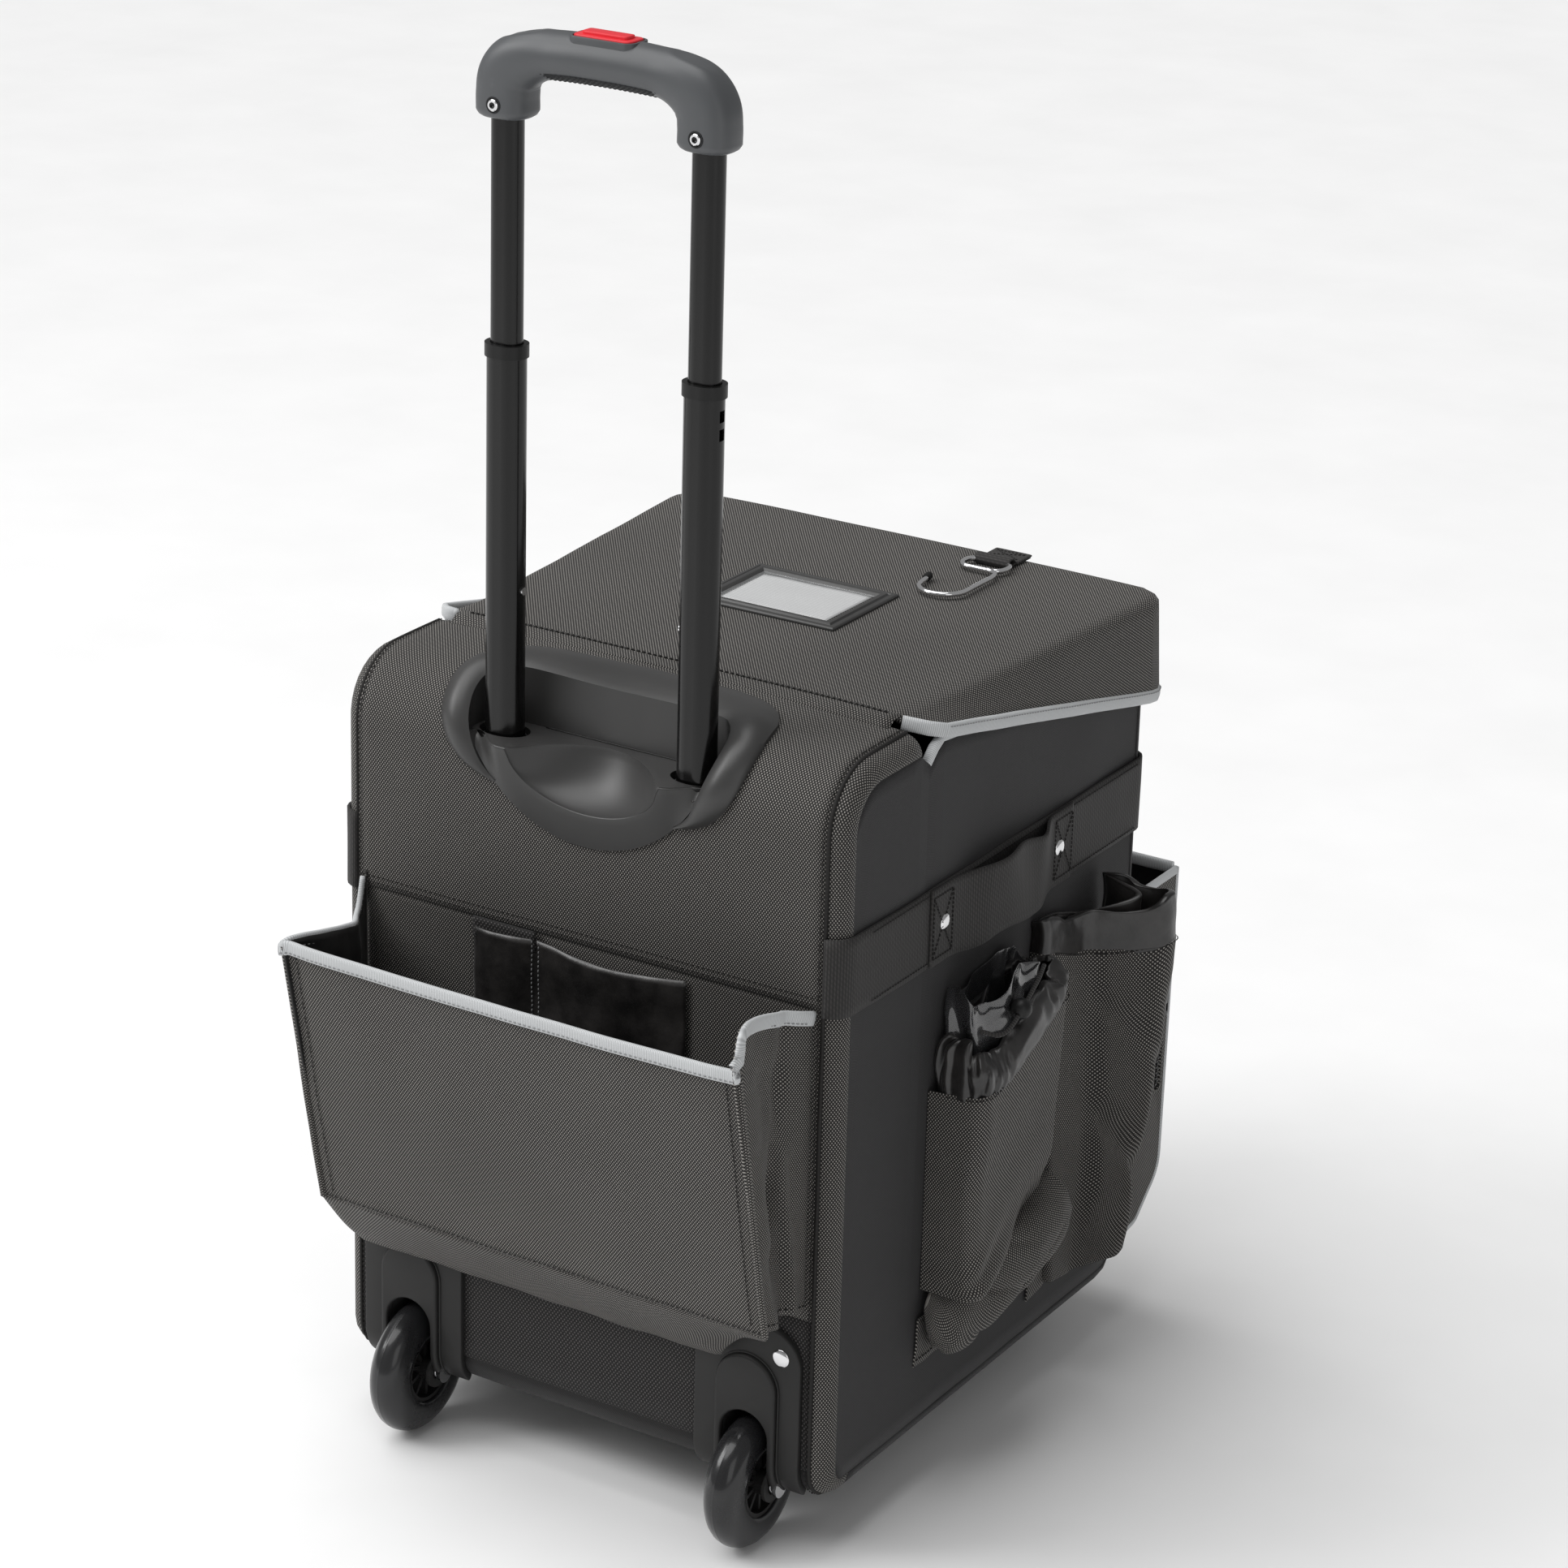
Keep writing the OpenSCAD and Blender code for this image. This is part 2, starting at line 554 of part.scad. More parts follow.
module hook_strap() color([0.12, 0.12, 0.12]) difference() {
  union() {
    block([hook_left + 3, hook_y, lid_top], [hook_right - 3, hook_y + 25, lid_top + 2.4]);
    bar([hook_left + 3, hook_y, hook_z], [hook_right - 3, hook_y, hook_z], 3.4);
  }
  bar([hook_left - 1, hook_y, hook_z], [hook_right + 1, hook_y, hook_z], hook_wire + 0.1);
}
module lid_hook() color([0.85, 0.85, 0.85]) translate([0, 0, hook_z]) {
  loop = [[hook_left, hook_y, 0], [hook_right, hook_y, 0], [hook_right, hook_y - 18, 0], [hook_left, hook_y - 18, 0]];
  for (i = [0:3]) {
    bar(loop[i], loop[(i + 1) % 4], hook_wire);
    translate(loop[i]) sphere(hook_wire);
  }
  bend_r = (hook_right - hook_left) / 2;
  bar([hook_right, hook_y - 18, 0], [hook_right, hook_bend_y, 0], hook_wire);
  translate([hook_left + bend_r, hook_bend_y, 0]) rotate(180) rotate_extrude(angle = 180)
    translate([bend_r, 0]) circle(hook_wire, $fn = 32);
  bar([hook_left, hook_bend_y, 0], [hook_left, hook_end_y, 0], hook_wire);
}
module hook_tip() color([0.05, 0.05, 0.05])
  bar([hook_left, hook_end_y, hook_z], [hook_left, hook_end_y + 9, hook_z], 2.6);

// ---- the nodes ----

placed() upper_back_panel();
placed() lower_back_panel();
placed() side_panel_left();
placed() side_panel_right();
placed() front_panel();
placed() bottom_panel();
placed() rear_bindings();
placed() opening_binding();
placed() inner_liner();
placed() handle_bezel();
placed() bezel_cup();
placed() fixed_tubes();
placed() tube_bracket();
placed() wheel_housing_left();
placed() wheel_housing_right();
placed() wheel_axles();
placed() rivets();
placed() front_feet();
placed() side_straps();
placed() carry_handle_left();
placed() carry_handle_right();
placed() organizer_pouch();
placed() liner_pouch();
placed() liner_pouch_collar();
placed() drawcord();
placed() liner_bag();
placed() tall_pouch();
placed() tall_pouch_band();
placed() front_pocket_panel();
placed() front_pocket_gussets();
placed() front_pocket_piping();
placed() zipper_chain();
placed() zipper_slider();
placed() cord_lock();
placed() rear_pocket_front();
placed() rear_pocket_bottom();
placed() rear_pocket_binding();
placed() rear_pocket_gussets();
placed() lid_panel();
placed() lid_flaps();
placed() lid_piping();
placed() window_frame();
placed() label_window();
placed() label_card();
placed() hook_strap();
placed() lid_hook();
placed() hook_tip();
placed() middle_tubes();
placed() middle_collars();
placed() lock_pins();
placed() upper_tubes();
placed() push_rods();
placed() grip_body();
placed() grip_screws();
placed() release_button();
placed() button_spring();
placed() tyre_left();
placed() hub_left();
placed() tyre_right();
placed() hub_right();
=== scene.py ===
"""The looks of the rolling tool box: cloth, webbing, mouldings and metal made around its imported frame.

Shapes are worked out in millimetres in the case's own axes: x across from the middle of the case, y forward
from its rear face, z up from the floor. place() turns such a point into the row's metres.
"""
import bisect
import math

import bmesh
import bpy
from mathutils import Matrix, Vector, noise


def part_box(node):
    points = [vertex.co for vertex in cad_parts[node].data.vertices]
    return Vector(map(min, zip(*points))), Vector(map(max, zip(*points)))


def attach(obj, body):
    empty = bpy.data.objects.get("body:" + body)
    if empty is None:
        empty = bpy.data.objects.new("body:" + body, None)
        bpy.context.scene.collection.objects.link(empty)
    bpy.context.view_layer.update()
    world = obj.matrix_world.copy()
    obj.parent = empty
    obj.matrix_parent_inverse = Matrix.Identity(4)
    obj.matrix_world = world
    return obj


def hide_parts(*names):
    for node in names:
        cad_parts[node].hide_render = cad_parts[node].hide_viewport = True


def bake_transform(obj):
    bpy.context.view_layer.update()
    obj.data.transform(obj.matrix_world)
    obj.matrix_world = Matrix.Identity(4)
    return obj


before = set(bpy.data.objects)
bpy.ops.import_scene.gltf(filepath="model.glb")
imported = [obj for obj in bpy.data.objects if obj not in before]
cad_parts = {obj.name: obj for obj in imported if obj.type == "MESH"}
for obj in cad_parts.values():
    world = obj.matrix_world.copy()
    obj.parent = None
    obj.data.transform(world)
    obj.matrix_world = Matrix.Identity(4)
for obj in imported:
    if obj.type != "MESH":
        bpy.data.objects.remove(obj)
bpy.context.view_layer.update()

MM = 0.001
SIDES = ((1, "right"), (-1, "left"))
SIDE_X = (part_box("side_panel_right")[1].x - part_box("side_panel_left")[0].x) / 2 / MM
ORIGIN = Vector(((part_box("side_panel_right")[1].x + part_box("side_panel_left")[0].x) / 2,
                 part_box("lower_back_panel")[0].y, 0))


def place(point):
    """A point in the case's millimetres as a place in the row, in metres."""
    return ORIGIN + Vector(point) * MM


def span(node):
    """Lowest and highest corner of a CAD node, in the case's millimetres."""
    return [(corner - ORIGIN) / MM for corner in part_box(node)]


def lerp(a, b, t):
    return a + (b - a) * t


def smooth(t):
    """0 below 0, 1 above 1, and a soft step between."""
    t = min(max(t, 0.0), 1.0)
    return t * t * (3 - 2 * t)


def bell(distance, width):
    """1 at no distance, falling away softly over about a width."""
    return math.exp(-(distance / width) ** 2)


def steps(count, start=0.0, end=1.0):
    return [lerp(start, end, i / count) for i in range(count + 1)]


# ---- lines and outlines ----


def curve(points, count):
    """A smooth line of count + 1 points through a few points, evenly spread along it."""
    points = [Vector(p) for p in points]
    padded = [points[0] * 2 - points[1], *points, points[-1] * 2 - points[-2]]
    fine = []
    for i in range(len(points) - 1):
        a, b, c, d = padded[i:i + 4]
        for t in steps(16)[:-1]:
            fine.append(0.5 * (2 * b + (c - a) * t + (2 * a - 5 * b + 4 * c - d) * t ** 2
                               + (3 * b - a - 3 * c + d) * t ** 3))
    return spread(fine + [points[-1]], count)


def spread(points, count):
    """count + 1 points at even distances along a chain of points."""
    lengths = [0.0]
    for a, b in zip(points, points[1:]):
        lengths.append(lengths[-1] + (b - a).length)
    result = []
    for s in steps(count, 0, lengths[-1]):
        i = min(max(bisect.bisect_right(lengths, s) - 1, 0), len(points) - 2)
        gap = lengths[i + 1] - lengths[i] or 1.0
        result.append(points[i].lerp(points[i + 1], min((s - lengths[i]) / gap, 1.0)))
    return result


class Outline:
    """A chain of straight stretches and round corners in one plane, followed by the length along it."""

    def __init__(self, corners, arc_steps=10, closed=False):
        spots = [Vector(c[:2]) for c in corners]
        radii = [c[2] if len(c) > 2 else 0 for c in corners]
        count = len(spots)
        self.points = []
        for i, (spot, radius) in enumerate(zip(spots, radii)):
            end = not closed and i in (0, count - 1)
            if end or radius == 0:
                self.points.append(spot)
                continue
            before = (spots[i - 1] - spot).normalized()
            after = (spots[(i + 1) % count] - spot).normalized()
            half = before.angle(after) / 2
            centre = spot + (before + after).normalized() * (radius / math.sin(half))
            first = spot + before * (radius / math.tan(half)) - centre
            last = spot + after * (radius / math.tan(half)) - centre
            for t in steps(arc_steps):
                self.points.append(centre + first.slerp(last, t).normalized() * first.length)
        if closed:
            self.points.append(self.points[0])
        self.lengths = [0.0]
        for a, b in zip(self.points, self.points[1:]):
            self.lengths.append(self.lengths[-1] + (b - a).length)

    @property
    def length(self):
        return self.lengths[-1]

    def spot(self, s):
        i = min(max(bisect.bisect_right(self.lengths, s) - 1, 0), len(self.points) - 2)
        gap = self.lengths[i + 1] - self.lengths[i]
        return self.points[i].lerp(self.points[i + 1], (s - self.lengths[i]) / gap if gap else 0)

    def at(self, s):
        """The point and the left-hand normal at s."""
        along = self.spot(min(s + 0.6, self.length)) - self.spot(max(s - 0.6, 0))
        return self.spot(s), Vector((-along.y, along.x)).normalized()


# ---- meshes ----


def add(name, data):
    """A new object in the scene."""
    made = bpy.data.objects.new(name, data)
    bpy.context.scene.collection.objects.link(made)
    return made


def build(name, points, faces, material, corner_uvs=None, sharp=None):
    """A smooth-shaded mesh from points in millimetres. corner_uvs holds a list of pairs for each face."""
    mesh = bpy.data.meshes.new(name)
    mesh.from_pydata([place(p) for p in points], [], faces)
    if corner_uvs:
        layer = mesh.uv_layers.new(name="cloth")
        for polygon, pairs in zip(mesh.polygons, corner_uvs):
            for loop, pair in zip(polygon.loop_indices, pairs):
                layer.data[loop].uv = pair
    mesh.materials.append(material)
    mesh.shade_smooth()
    if sharp:
        mesh.set_sharp_from_angle(angle=math.radians(sharp))
    return add(name, mesh)


def modify(piece, kind, **settings):
    """Adds a modifier and applies it at once."""
    modifier = piece.modifiers.new(kind, kind)
    for key, value in settings.items():
        setattr(modifier, key, value)
    bpy.context.view_layer.update()
    shape = piece.evaluated_get(bpy.context.evaluated_depsgraph_get())
    mesh = bpy.data.meshes.new_from_object(shape)
    piece.modifiers.clear()
    piece.data = mesh
    mesh.name = piece.name
    return piece


def sheet(name, point, us, vs, material, thick=2.0, lining=None, hole=None):
    """A cloth or board whose outer face is point(u, v), for u and v along the lists us and vs.

    u runs to the right and v upwards, seen from outside; thick goes inwards. The weave's own coordinates
    are the lengths along the middle row and column. hole(u, v) says which cells are left out."""
    columns, rows = len(us), len(vs)
    points = [Vector(point(u, v)) for v in vs for u in us]

    def run(indices):
        total = [0.0]
        for a, b in zip(indices, indices[1:]):
            total.append(total[-1] + (points[b] - points[a]).length)
        return total

    middle = rows // 2 * columns
    across = run(range(middle, middle + columns))
    up = run(range(columns // 2, rows * columns, columns))
    faces, uvs = [], []
    for j in range(rows - 1):
        for i in range(columns - 1):
            if hole and hole((us[i] + us[i + 1]) / 2, (vs[j] + vs[j + 1]) / 2):
                continue
            k = j * columns + i
            faces.append((k, k + 1, k + 1 + columns, k + columns))
            uvs.append([(across[a] * MM, up[b] * MM) for a,
                        b in ((i, j), (i + 1, j), (i + 1, j + 1), (i, j + 1))])
    piece = build(name, points, faces, material, uvs)
    if lining:
        piece.data.materials.append(lining)
    if thick:
        modify(piece, "SOLIDIFY", thickness=thick * MM, offset=-1, use_even_offset=False,
               material_offset=1 if lining else 0, material_offset_rim=0)
    return piece


def ring_section(half_a, half_b, count=12, power=2.0):
    """A closed section, round at power 2 and squarer above it."""
    section = []
    for k in range(count):
        c, s = math.cos(math.tau * k / count), math.sin(math.tau * k / count)
        section.append((half_a * math.copysign(abs(c) ** (2 / power), c),
                        half_b * math.copysign(abs(s) ** (2 / power), s)))
    return section


def loft(name, rings, material, sharp=None, closed=False, caps=True):
    """A skin over rings of points, each ring a loop of the same number of points."""
    count, sides = len(rings), len(rings[0])
    points = [Vector(p) for ring in rings for p in ring]
    lengths, girth = [0.0], [0.0]
    for i in range(count):
        lengths.append(lengths[-1] + (points[(i + 1) % count * sides] - points[i * sides]).length)
    middle = count // 2 * sides
    for k in range(sides):
        girth.append(girth[-1] + (points[middle + (k + 1) % sides] - points[middle + k]).length)
    faces, uvs = [], []
    for i in range(count if closed else count - 1):
        low, high = i * sides, (i + 1) % count * sides
        for k in range(sides):
            n = (k + 1) % sides
            faces.append((low + k, low + n, high + n, high + k))
            uvs.append([(lengths[a] * MM, girth[b] * MM) for a,
                        b in ((i, k), (i, k + 1), (i + 1, k + 1), (i + 1, k))])
    if caps and not closed:
        faces += [tuple(reversed(range(sides))), tuple(range((count - 1) * sides, count * sides))]
        uvs += [[(0, 0)] * sides] * 2
    return build(name, points, faces, material, uvs, sharp)


def sweep(name, path, section, material, across=None, closed=False, sharp=None):
    """Carries a section along a path.

    section is a list of (a, b), or a function of the fraction along the path. across gives the direction
    of a at each point; b is square to it and to the path."""
    path = [Vector(p) for p in path]
    count = len(path)
    rings, axis = [], None
    for i, spot in enumerate(path):
        before = path[i - 1] if i or closed else spot
        after = path[(i + 1) % count] if i < count - 1 or closed else spot
        along = (after - before).normalized()
        if across:
            axis = Vector(across[i])
        elif axis is None:
            axis = Vector((0, 0, 1)) if abs(along.z) < 0.9 else Vector((0, 1, 0))
        axis = (axis - along * axis.dot(along)).normalized()
        other = along.cross(axis)
        shape = section(i / (count - 1)) if callable(section) else section
        rings.append([spot + axis * a + other * b for a, b in shape])
    return loft(name, rings, material, sharp, closed)


def warp(piece, change):
    """Moves every vertex: change takes and gives a point in millimetres."""
    for vertex in piece.data.vertices:
        vertex.co = place(change((vertex.co - ORIGIN) / MM))
    return piece


def cut_level(piece, heights):
    """Adds a ring of edges round a piece at each height, so that it can bend there."""
    work = bmesh.new()
    work.from_mesh(piece.data)
    for height in heights:
        bmesh.ops.bisect_plane(work, geom=[*work.verts, *work.edges, *work.faces],
                               plane_co=place((0, 0, height)), plane_no=(0, 0, 1))
    work.to_mesh(piece.data)
    work.free()
    return piece


def round_rect(half_a, half_b, radius, centre=(0, 0), arc_steps=6):
    a, b = centre
    corners = [(a - half_a, b - half_b, radius), (a + half_a, b - half_b, radius),
               (a + half_a, b + half_b, radius), (a - half_a, b + half_b, radius)]
    return [tuple(p) for p in Outline(corners, arc_steps, closed=True).points[:-1]]


def carve(piece, *tools):
    """Cuts closed shapes out of a piece, and removes them."""
    for tool in tools:
        modify(piece, "BOOLEAN", operation="DIFFERENCE", object=tool, solver="EXACT")
        bpy.data.objects.remove(tool)
    return piece


def prism(name, outline, put, low, high, material, holes=(), bevel=0.0, segments=2, sharp=35):
    """A flat outline with holes, extruded from low to high. put(a, b, c) gives its points."""
    work = bmesh.new()
    loops = [list(outline), *[list(h) for h in holes]]
    edges = []
    for loop in loops:
        corners = [work.verts.new(place(put(a, b, low))) for a, b in loop]
        edges += [work.edges.new((corners[k], corners[(k + 1) % len(corners)])) for k in range(len(corners))]
    bmesh.ops.triangle_fill(work, use_beauty=True, use_dissolve=not holes, edges=edges)
    base = list(work.faces)
    made = bmesh.ops.extrude_face_region(work, geom=base)
    shift = place(put(0, 0, high)) - place(put(0, 0, low))
    bmesh.ops.translate(work, verts=[v for v in made["geom"] if isinstance(v, bmesh.types.BMVert)], vec=shift)
    bmesh.ops.recalc_face_normals(work, faces=list(work.faces))
    mesh = bpy.data.meshes.new(name)
    work.to_mesh(mesh)
    work.free()
    mesh.materials.append(material)
    piece = add(name, mesh)
    if bevel:
        modify(piece, "BEVEL", width=bevel * MM, segments=segments, limit_method="ANGLE",
               angle_limit=math.radians(40))
    piece.data.shade_smooth()
    piece.data.set_sharp_from_angle(angle=math.radians(sharp))
    return piece


def lay_flat(piece):
    """Gives a piece facing left or right its cloth coordinates, in metres along y and z."""
    mesh = piece.data
    layer = mesh.uv_layers.get("cloth") or mesh.uv_layers.new(name="cloth")
    for loop in mesh.loops:
        spot = mesh.vertices[loop.vertex_index].co
        layer.data[loop.index].uv = (spot.y, spot.z)


def lathe(name, profile, centre, material, count=48, sharp=None, closed=False):
    """Turns a profile of (x, radius) about an axle along x through centre."""
    points, faces = [], []
    for k in range(count):
        turn = math.tau * k / count
        points += [Vector(centre) + Vector((x, r * math.cos(turn), r * math.sin(turn))) for x, r in profile]
    rings = len(profile)
    for k in range(count):
        low, high = k * rings, (k + 1) % count * rings
        for i in range(rings if closed else rings - 1):
            n = (i + 1) % rings
            faces.append((low + i, high + i, high + n, low + n))
    if not closed:
        faces += [tuple(k * rings for k in range(count)),
                  tuple((count - 1 - k) * rings + rings - 1 for k in range(count))]
    piece = build(name, points, faces, material, None, sharp)
    work = bmesh.new()
    work.from_mesh(piece.data)
    bmesh.ops.recalc_face_normals(work, faces=list(work.faces))
    work.to_mesh(piece.data)
    work.free()
    return piece


def join(name, pieces):
    """One object from several, keeping their materials."""
    work = bmesh.new()
    materials = []
    for piece in pieces:
        index = []
        for material in piece.data.materials:
            if material not in materials:
                materials.append(material)
            index.append(materials.index(material))
        start = len(work.faces)
        work.from_mesh(piece.data)
        work.faces.ensure_lookup_table()
        for face in work.faces[start:]:
            face.material_index = index[face.material_index]
    mesh = bpy.data.meshes.new(name)
    work.to_mesh(mesh)
    work.free()
    for material in materials:
        mesh.materials.append(material)
    for piece in pieces:
        bpy.data.objects.remove(piece)
    return add(name, mesh)


def stitches(name, path, material, normal=None, pitch=3.6, length=2.5, half=0.45):
    """A row of stitches along a path: a small spindle of thread for each, lying on the surface."""
    path = [Vector(p) for p in path]
    total = sum((b - a).length for a, b in zip(path, path[1:]))
    count = max(int(total / pitch), 1)
    spots = spread(path, count * 2)
    points, faces = [], []
    for i in range(count):
        a, b = spots[2 * i], spots[2 * i + 2]
        along = (b - a).normalized()
        out = Vector(normal) if normal else Vector((0, -1, 0))
        side = along.cross(out).normalized()
        out = side.cross(along)
        middle = (a + b) / 2
        base = len(points)
        for reach, size in ((-0.5, 0.0), (-0.25, 1.0), (0.25, 1.0), (0.5, 0.0)):
            centre = middle + along * (reach * length) + out * (half * (size - 0.4))
            ring = [(1, 0), (0, 1), (-1, 0), (0, -1)]
            points += [centre + (side * c + out * s) * half * max(size, 0.25) for c, s in ring]
        for j in range(3):
            for k in range(4):
                n = (k + 1) % 4
                faces.append((base + 4 * j + k, base + 4 * j + n, base + 4 * j + 4 + n, base + 4 * j + 4 + k))
        faces += [(base + 3, base + 2, base + 1, base), (base + 12, base + 13, base + 14, base + 15)]
    return build(name, points, faces, material)


def fit(piece, body, slot, *nodes):
    """The piece moves with its body and stands for those CAD nodes. slot is not used."""
    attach(piece, body)
    if nodes:
        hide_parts(*nodes)
    return piece


# ---- camera, floor and light ----


def make_camera():
    """Behind the case, to its right and above it, with the slight roll of the view."""
    azimuth, elevation, roll = (math.radians(a) for a in (31.76, 20.37, 1.42))
    back = Vector((math.sin(azimuth) * math.cos(elevation), -math.cos(azimuth) * math.cos(elevation),
                   math.sin(elevation)))
    right = (-back).cross(Vector((0, 0, 1))).normalized()
    up = right.cross(-back)
    aim = place((0, 200, 500)) + (right * -11.04 + up * -26.26) * MM
    across = right * math.cos(roll) + up * math.sin(roll)
    above = up * math.cos(roll) - right * math.sin(roll)
    camera = add("camera", bpy.data.cameras.new("camera"))
    distance = 2.83524
    camera.matrix_world = Matrix.Translation(aim + back
                                             * distance) @ Matrix((across, above,
                                                                   back)).transposed().to_4x4()
    camera.data.sensor_width = 36
    camera.data.lens = 103.38
    camera.data.shift_x = 0.0239
    camera.data.shift_y = -0.058
    bpy.context.scene.camera = camera


def make_light(name, spot, aim, size, watts):
    lamp = bpy.data.lights.new(name, "AREA")
    lamp.shape = "RECTANGLE"
    lamp.size, lamp.size_y = size
    lamp.energy = watts
    light = add(name, lamp)
    light.location = spot
    light.rotation_mode = "QUATERNION"
    light.rotation_quaternion = (Vector(aim) - Vector(spot)).to_track_quat("-Z", "Y")


def make_studio():
    """A pale floor, pale surroundings and large soft lamps."""
    world = bpy.data.worlds.new("studio")
    world.use_nodes = True
    world.node_tree.nodes["Background"].inputs["Color"].default_value = (1, 1, 1, 1)
    world.node_tree.nodes["Background"].inputs["Strength"].default_value = 0.3
    bpy.context.scene.world = world
    bpy.context.scene.view_settings.view_transform = "Standard"
    middle = place((0, 190, 450))
    sky = add("sky", bpy.data.lights.new("sky", "SUN"))
    sky.data.energy = 2.35
    sky.data.angle = math.radians(60)
    sky.rotation_euler = Vector((-0.32, -0.22, 1)).to_track_quat("Z", "Y").to_euler()
    make_light("window", middle + Vector((-2.2, -1.9, 1.7)), middle, (1.3, 1.5), 40)
    make_light("fill", middle + Vector((2.2, -1.7, 0.7)), middle, (1.2, 1.6), 6)
    paint = Paint("floor_paint", Roughness=0.85)
    speckle = paint.noise(paint.object_space(), 6, 3)
    paint.colour(paint.mix(speckle, rgb(236, 236, 236), rgb(246, 246, 246)))
    half = 6000
    floor = build("floor", [(-half, -half, 0), (half, -half, 0), (half, half, 0), (-half, half, 0)],
                  [(0, 1, 2, 3)], paint.material)


# ---- materials ----


def rgb(red, green, blue):
    """Linear colour of a screen colour from 0 to 255."""
    linear = [(c / 255 / 12.92) if c < 11 else ((c / 255 + 0.055) / 1.055) ** 2.4 for c in (red, green, blue)]
    return (*linear, 1.0)


class Paint:
    """One procedural material. Values that are the same all over are set on the shader itself."""

    def __init__(self, name, **fixed):
        self.material = bpy.data.materials.new(name)
        self.material.use_nodes = True
        self.tree = self.material.node_tree
        self.shader = self.tree.nodes["Principled BSDF"]
        for key, value in fixed.items():
            self.shader.inputs[key.replace("_", " ")].default_value = value

    def node(self, kind, sockets, **settings):
        made = self.tree.nodes.new("ShaderNode" + kind)
        for key, value in settings.items():
            setattr(made, key, value)
        for key, value in sockets.items():
            if isinstance(value, bpy.types.NodeSocket):
                self.tree.links.new(value, made.inputs[key])
            else:
                made.inputs[key].default_value = value
        return made

    def calc(self, operation, a, b=0.0, c=0.0):
        return self.node("Math", {0: a, 1: b, 2: c}, operation=operation).outputs[0]

    def scaled(self, value, low, high):
        """A value from 0 to 1 carried to low to high."""
        return self.calc("MULTIPLY_ADD", value, high - low, low)

    def object_space(self):
        return self.node("TexCoord", {}).outputs["Object"]

    def cloth_space(self):
        """The two coordinates that run along a cloth, in metres."""
        parts = self.node("SeparateXYZ", {0: self.node("UVMap", {}, uv_map="cloth").outputs["UV"]})
        return parts.outputs["X"], parts.outputs["Y"]

    def noise(self, space, scale, detail=3.0, roughness=0.55):
        return self.node("TexNoise", {"Vector": space, "Scale": scale, "Detail": detail,
                                      "Roughness": roughness}).outputs["Fac"]

    def mix(self, factor, a, b):
        made = self.node("Mix", {"Factor": factor}, data_type="RGBA")
        for key, value in ((6, a), (7, b)):
            if isinstance(value, bpy.types.NodeSocket):
                self.tree.links.new(value, made.inputs[key])
            else:
                made.inputs[key].default_value = value
        return made.outputs[2]

    def contrast(self, value, low, high):
        """0 below low, 1 above high, and a soft step between."""
        return self.node("MapRange", {"Value": value, "From Min": low, "From Max": high},
                         interpolation_type="SMOOTHSTEP").outputs["Result"]

    def colour(self, socket):
        self.tree.links.new(socket, self.shader.inputs["Base Color"])
        return self

    def rough(self, socket):
        self.tree.links.new(socket, self.shader.inputs["Roughness"])
        return self

    def bump(self, height, millimetres, strength=1.0, under=None):
        made = self.node("Bump", {"Height": height, "Strength": strength, "Distance": millimetres * MM})
        if under:
            self.tree.links.new(under, made.inputs["Normal"])
        self.tree.links.new(made.outputs["Normal"], self.shader.inputs["Normal"])
        return made.outputs["Normal"]

    def wave(self, value, pitch, shift=0.0):
        """A soft ridge pattern from 0 to 1 that repeats every pitch millimetres."""
        turn = self.calc("MULTIPLY_ADD", value, math.tau / (pitch * MM), shift)
        return self.calc("MULTIPLY_ADD", self.calc("COSINE", turn), 0.5, 0.5)

    def lattice(self, across, along):
        """1 on each thread that floats over the weave: dots in rows, each row shifted by half a step."""
        x, y = self.cloth_space()
        x = self.calc("MULTIPLY", x, 1 / (across * MM))
        y = self.calc("MULTIPLY", y, 0.5 / (along * MM))
        waves = [self.calc("COSINE", self.calc("MULTIPLY", self.calc(way, x, y), math.tau))
                 for way in ("ADD", "SUBTRACT")]
        a, b = (self.calc("MULTIPLY_ADD", w, 0.5, 0.5) for w in waves)
        return self.calc("MULTIPLY", a, b)


def dotted_cloth(name, dark, light, across=2.0, along=1.35, lift=0.35, reach=(0.28, 0.75),
                 roughness=(0.62, 0.8)):
    """Coarse two-colour nylon: light threads floating over black ones."""
    paint = Paint(name, Sheen_Weight=0.06, Sheen_Roughness=0.45, Specular_IOR_Level=0.35)
    dot = paint.lattice(across, along)
    mask = paint.contrast(dot, *reach)
    space = paint.object_space()
    cloud = paint.noise(space, 9, 4)
    thread = paint.noise(space, 900, 2)
    worn = paint.scaled(cloud, 0.82, 1.12)
    glow = paint.calc("MULTIPLY", paint.calc("MULTIPLY", mask, worn), paint.scaled(thread, 0.9, 1.1))
    paint.colour(paint.mix(glow, dark, light))
    paint.rough(paint.scaled(mask, roughness[1], roughness[0]))
    soft = paint.bump(cloud, 3.0, 0.25)
    paint.bump(dot, lift, 0.7, soft)
    return paint.material


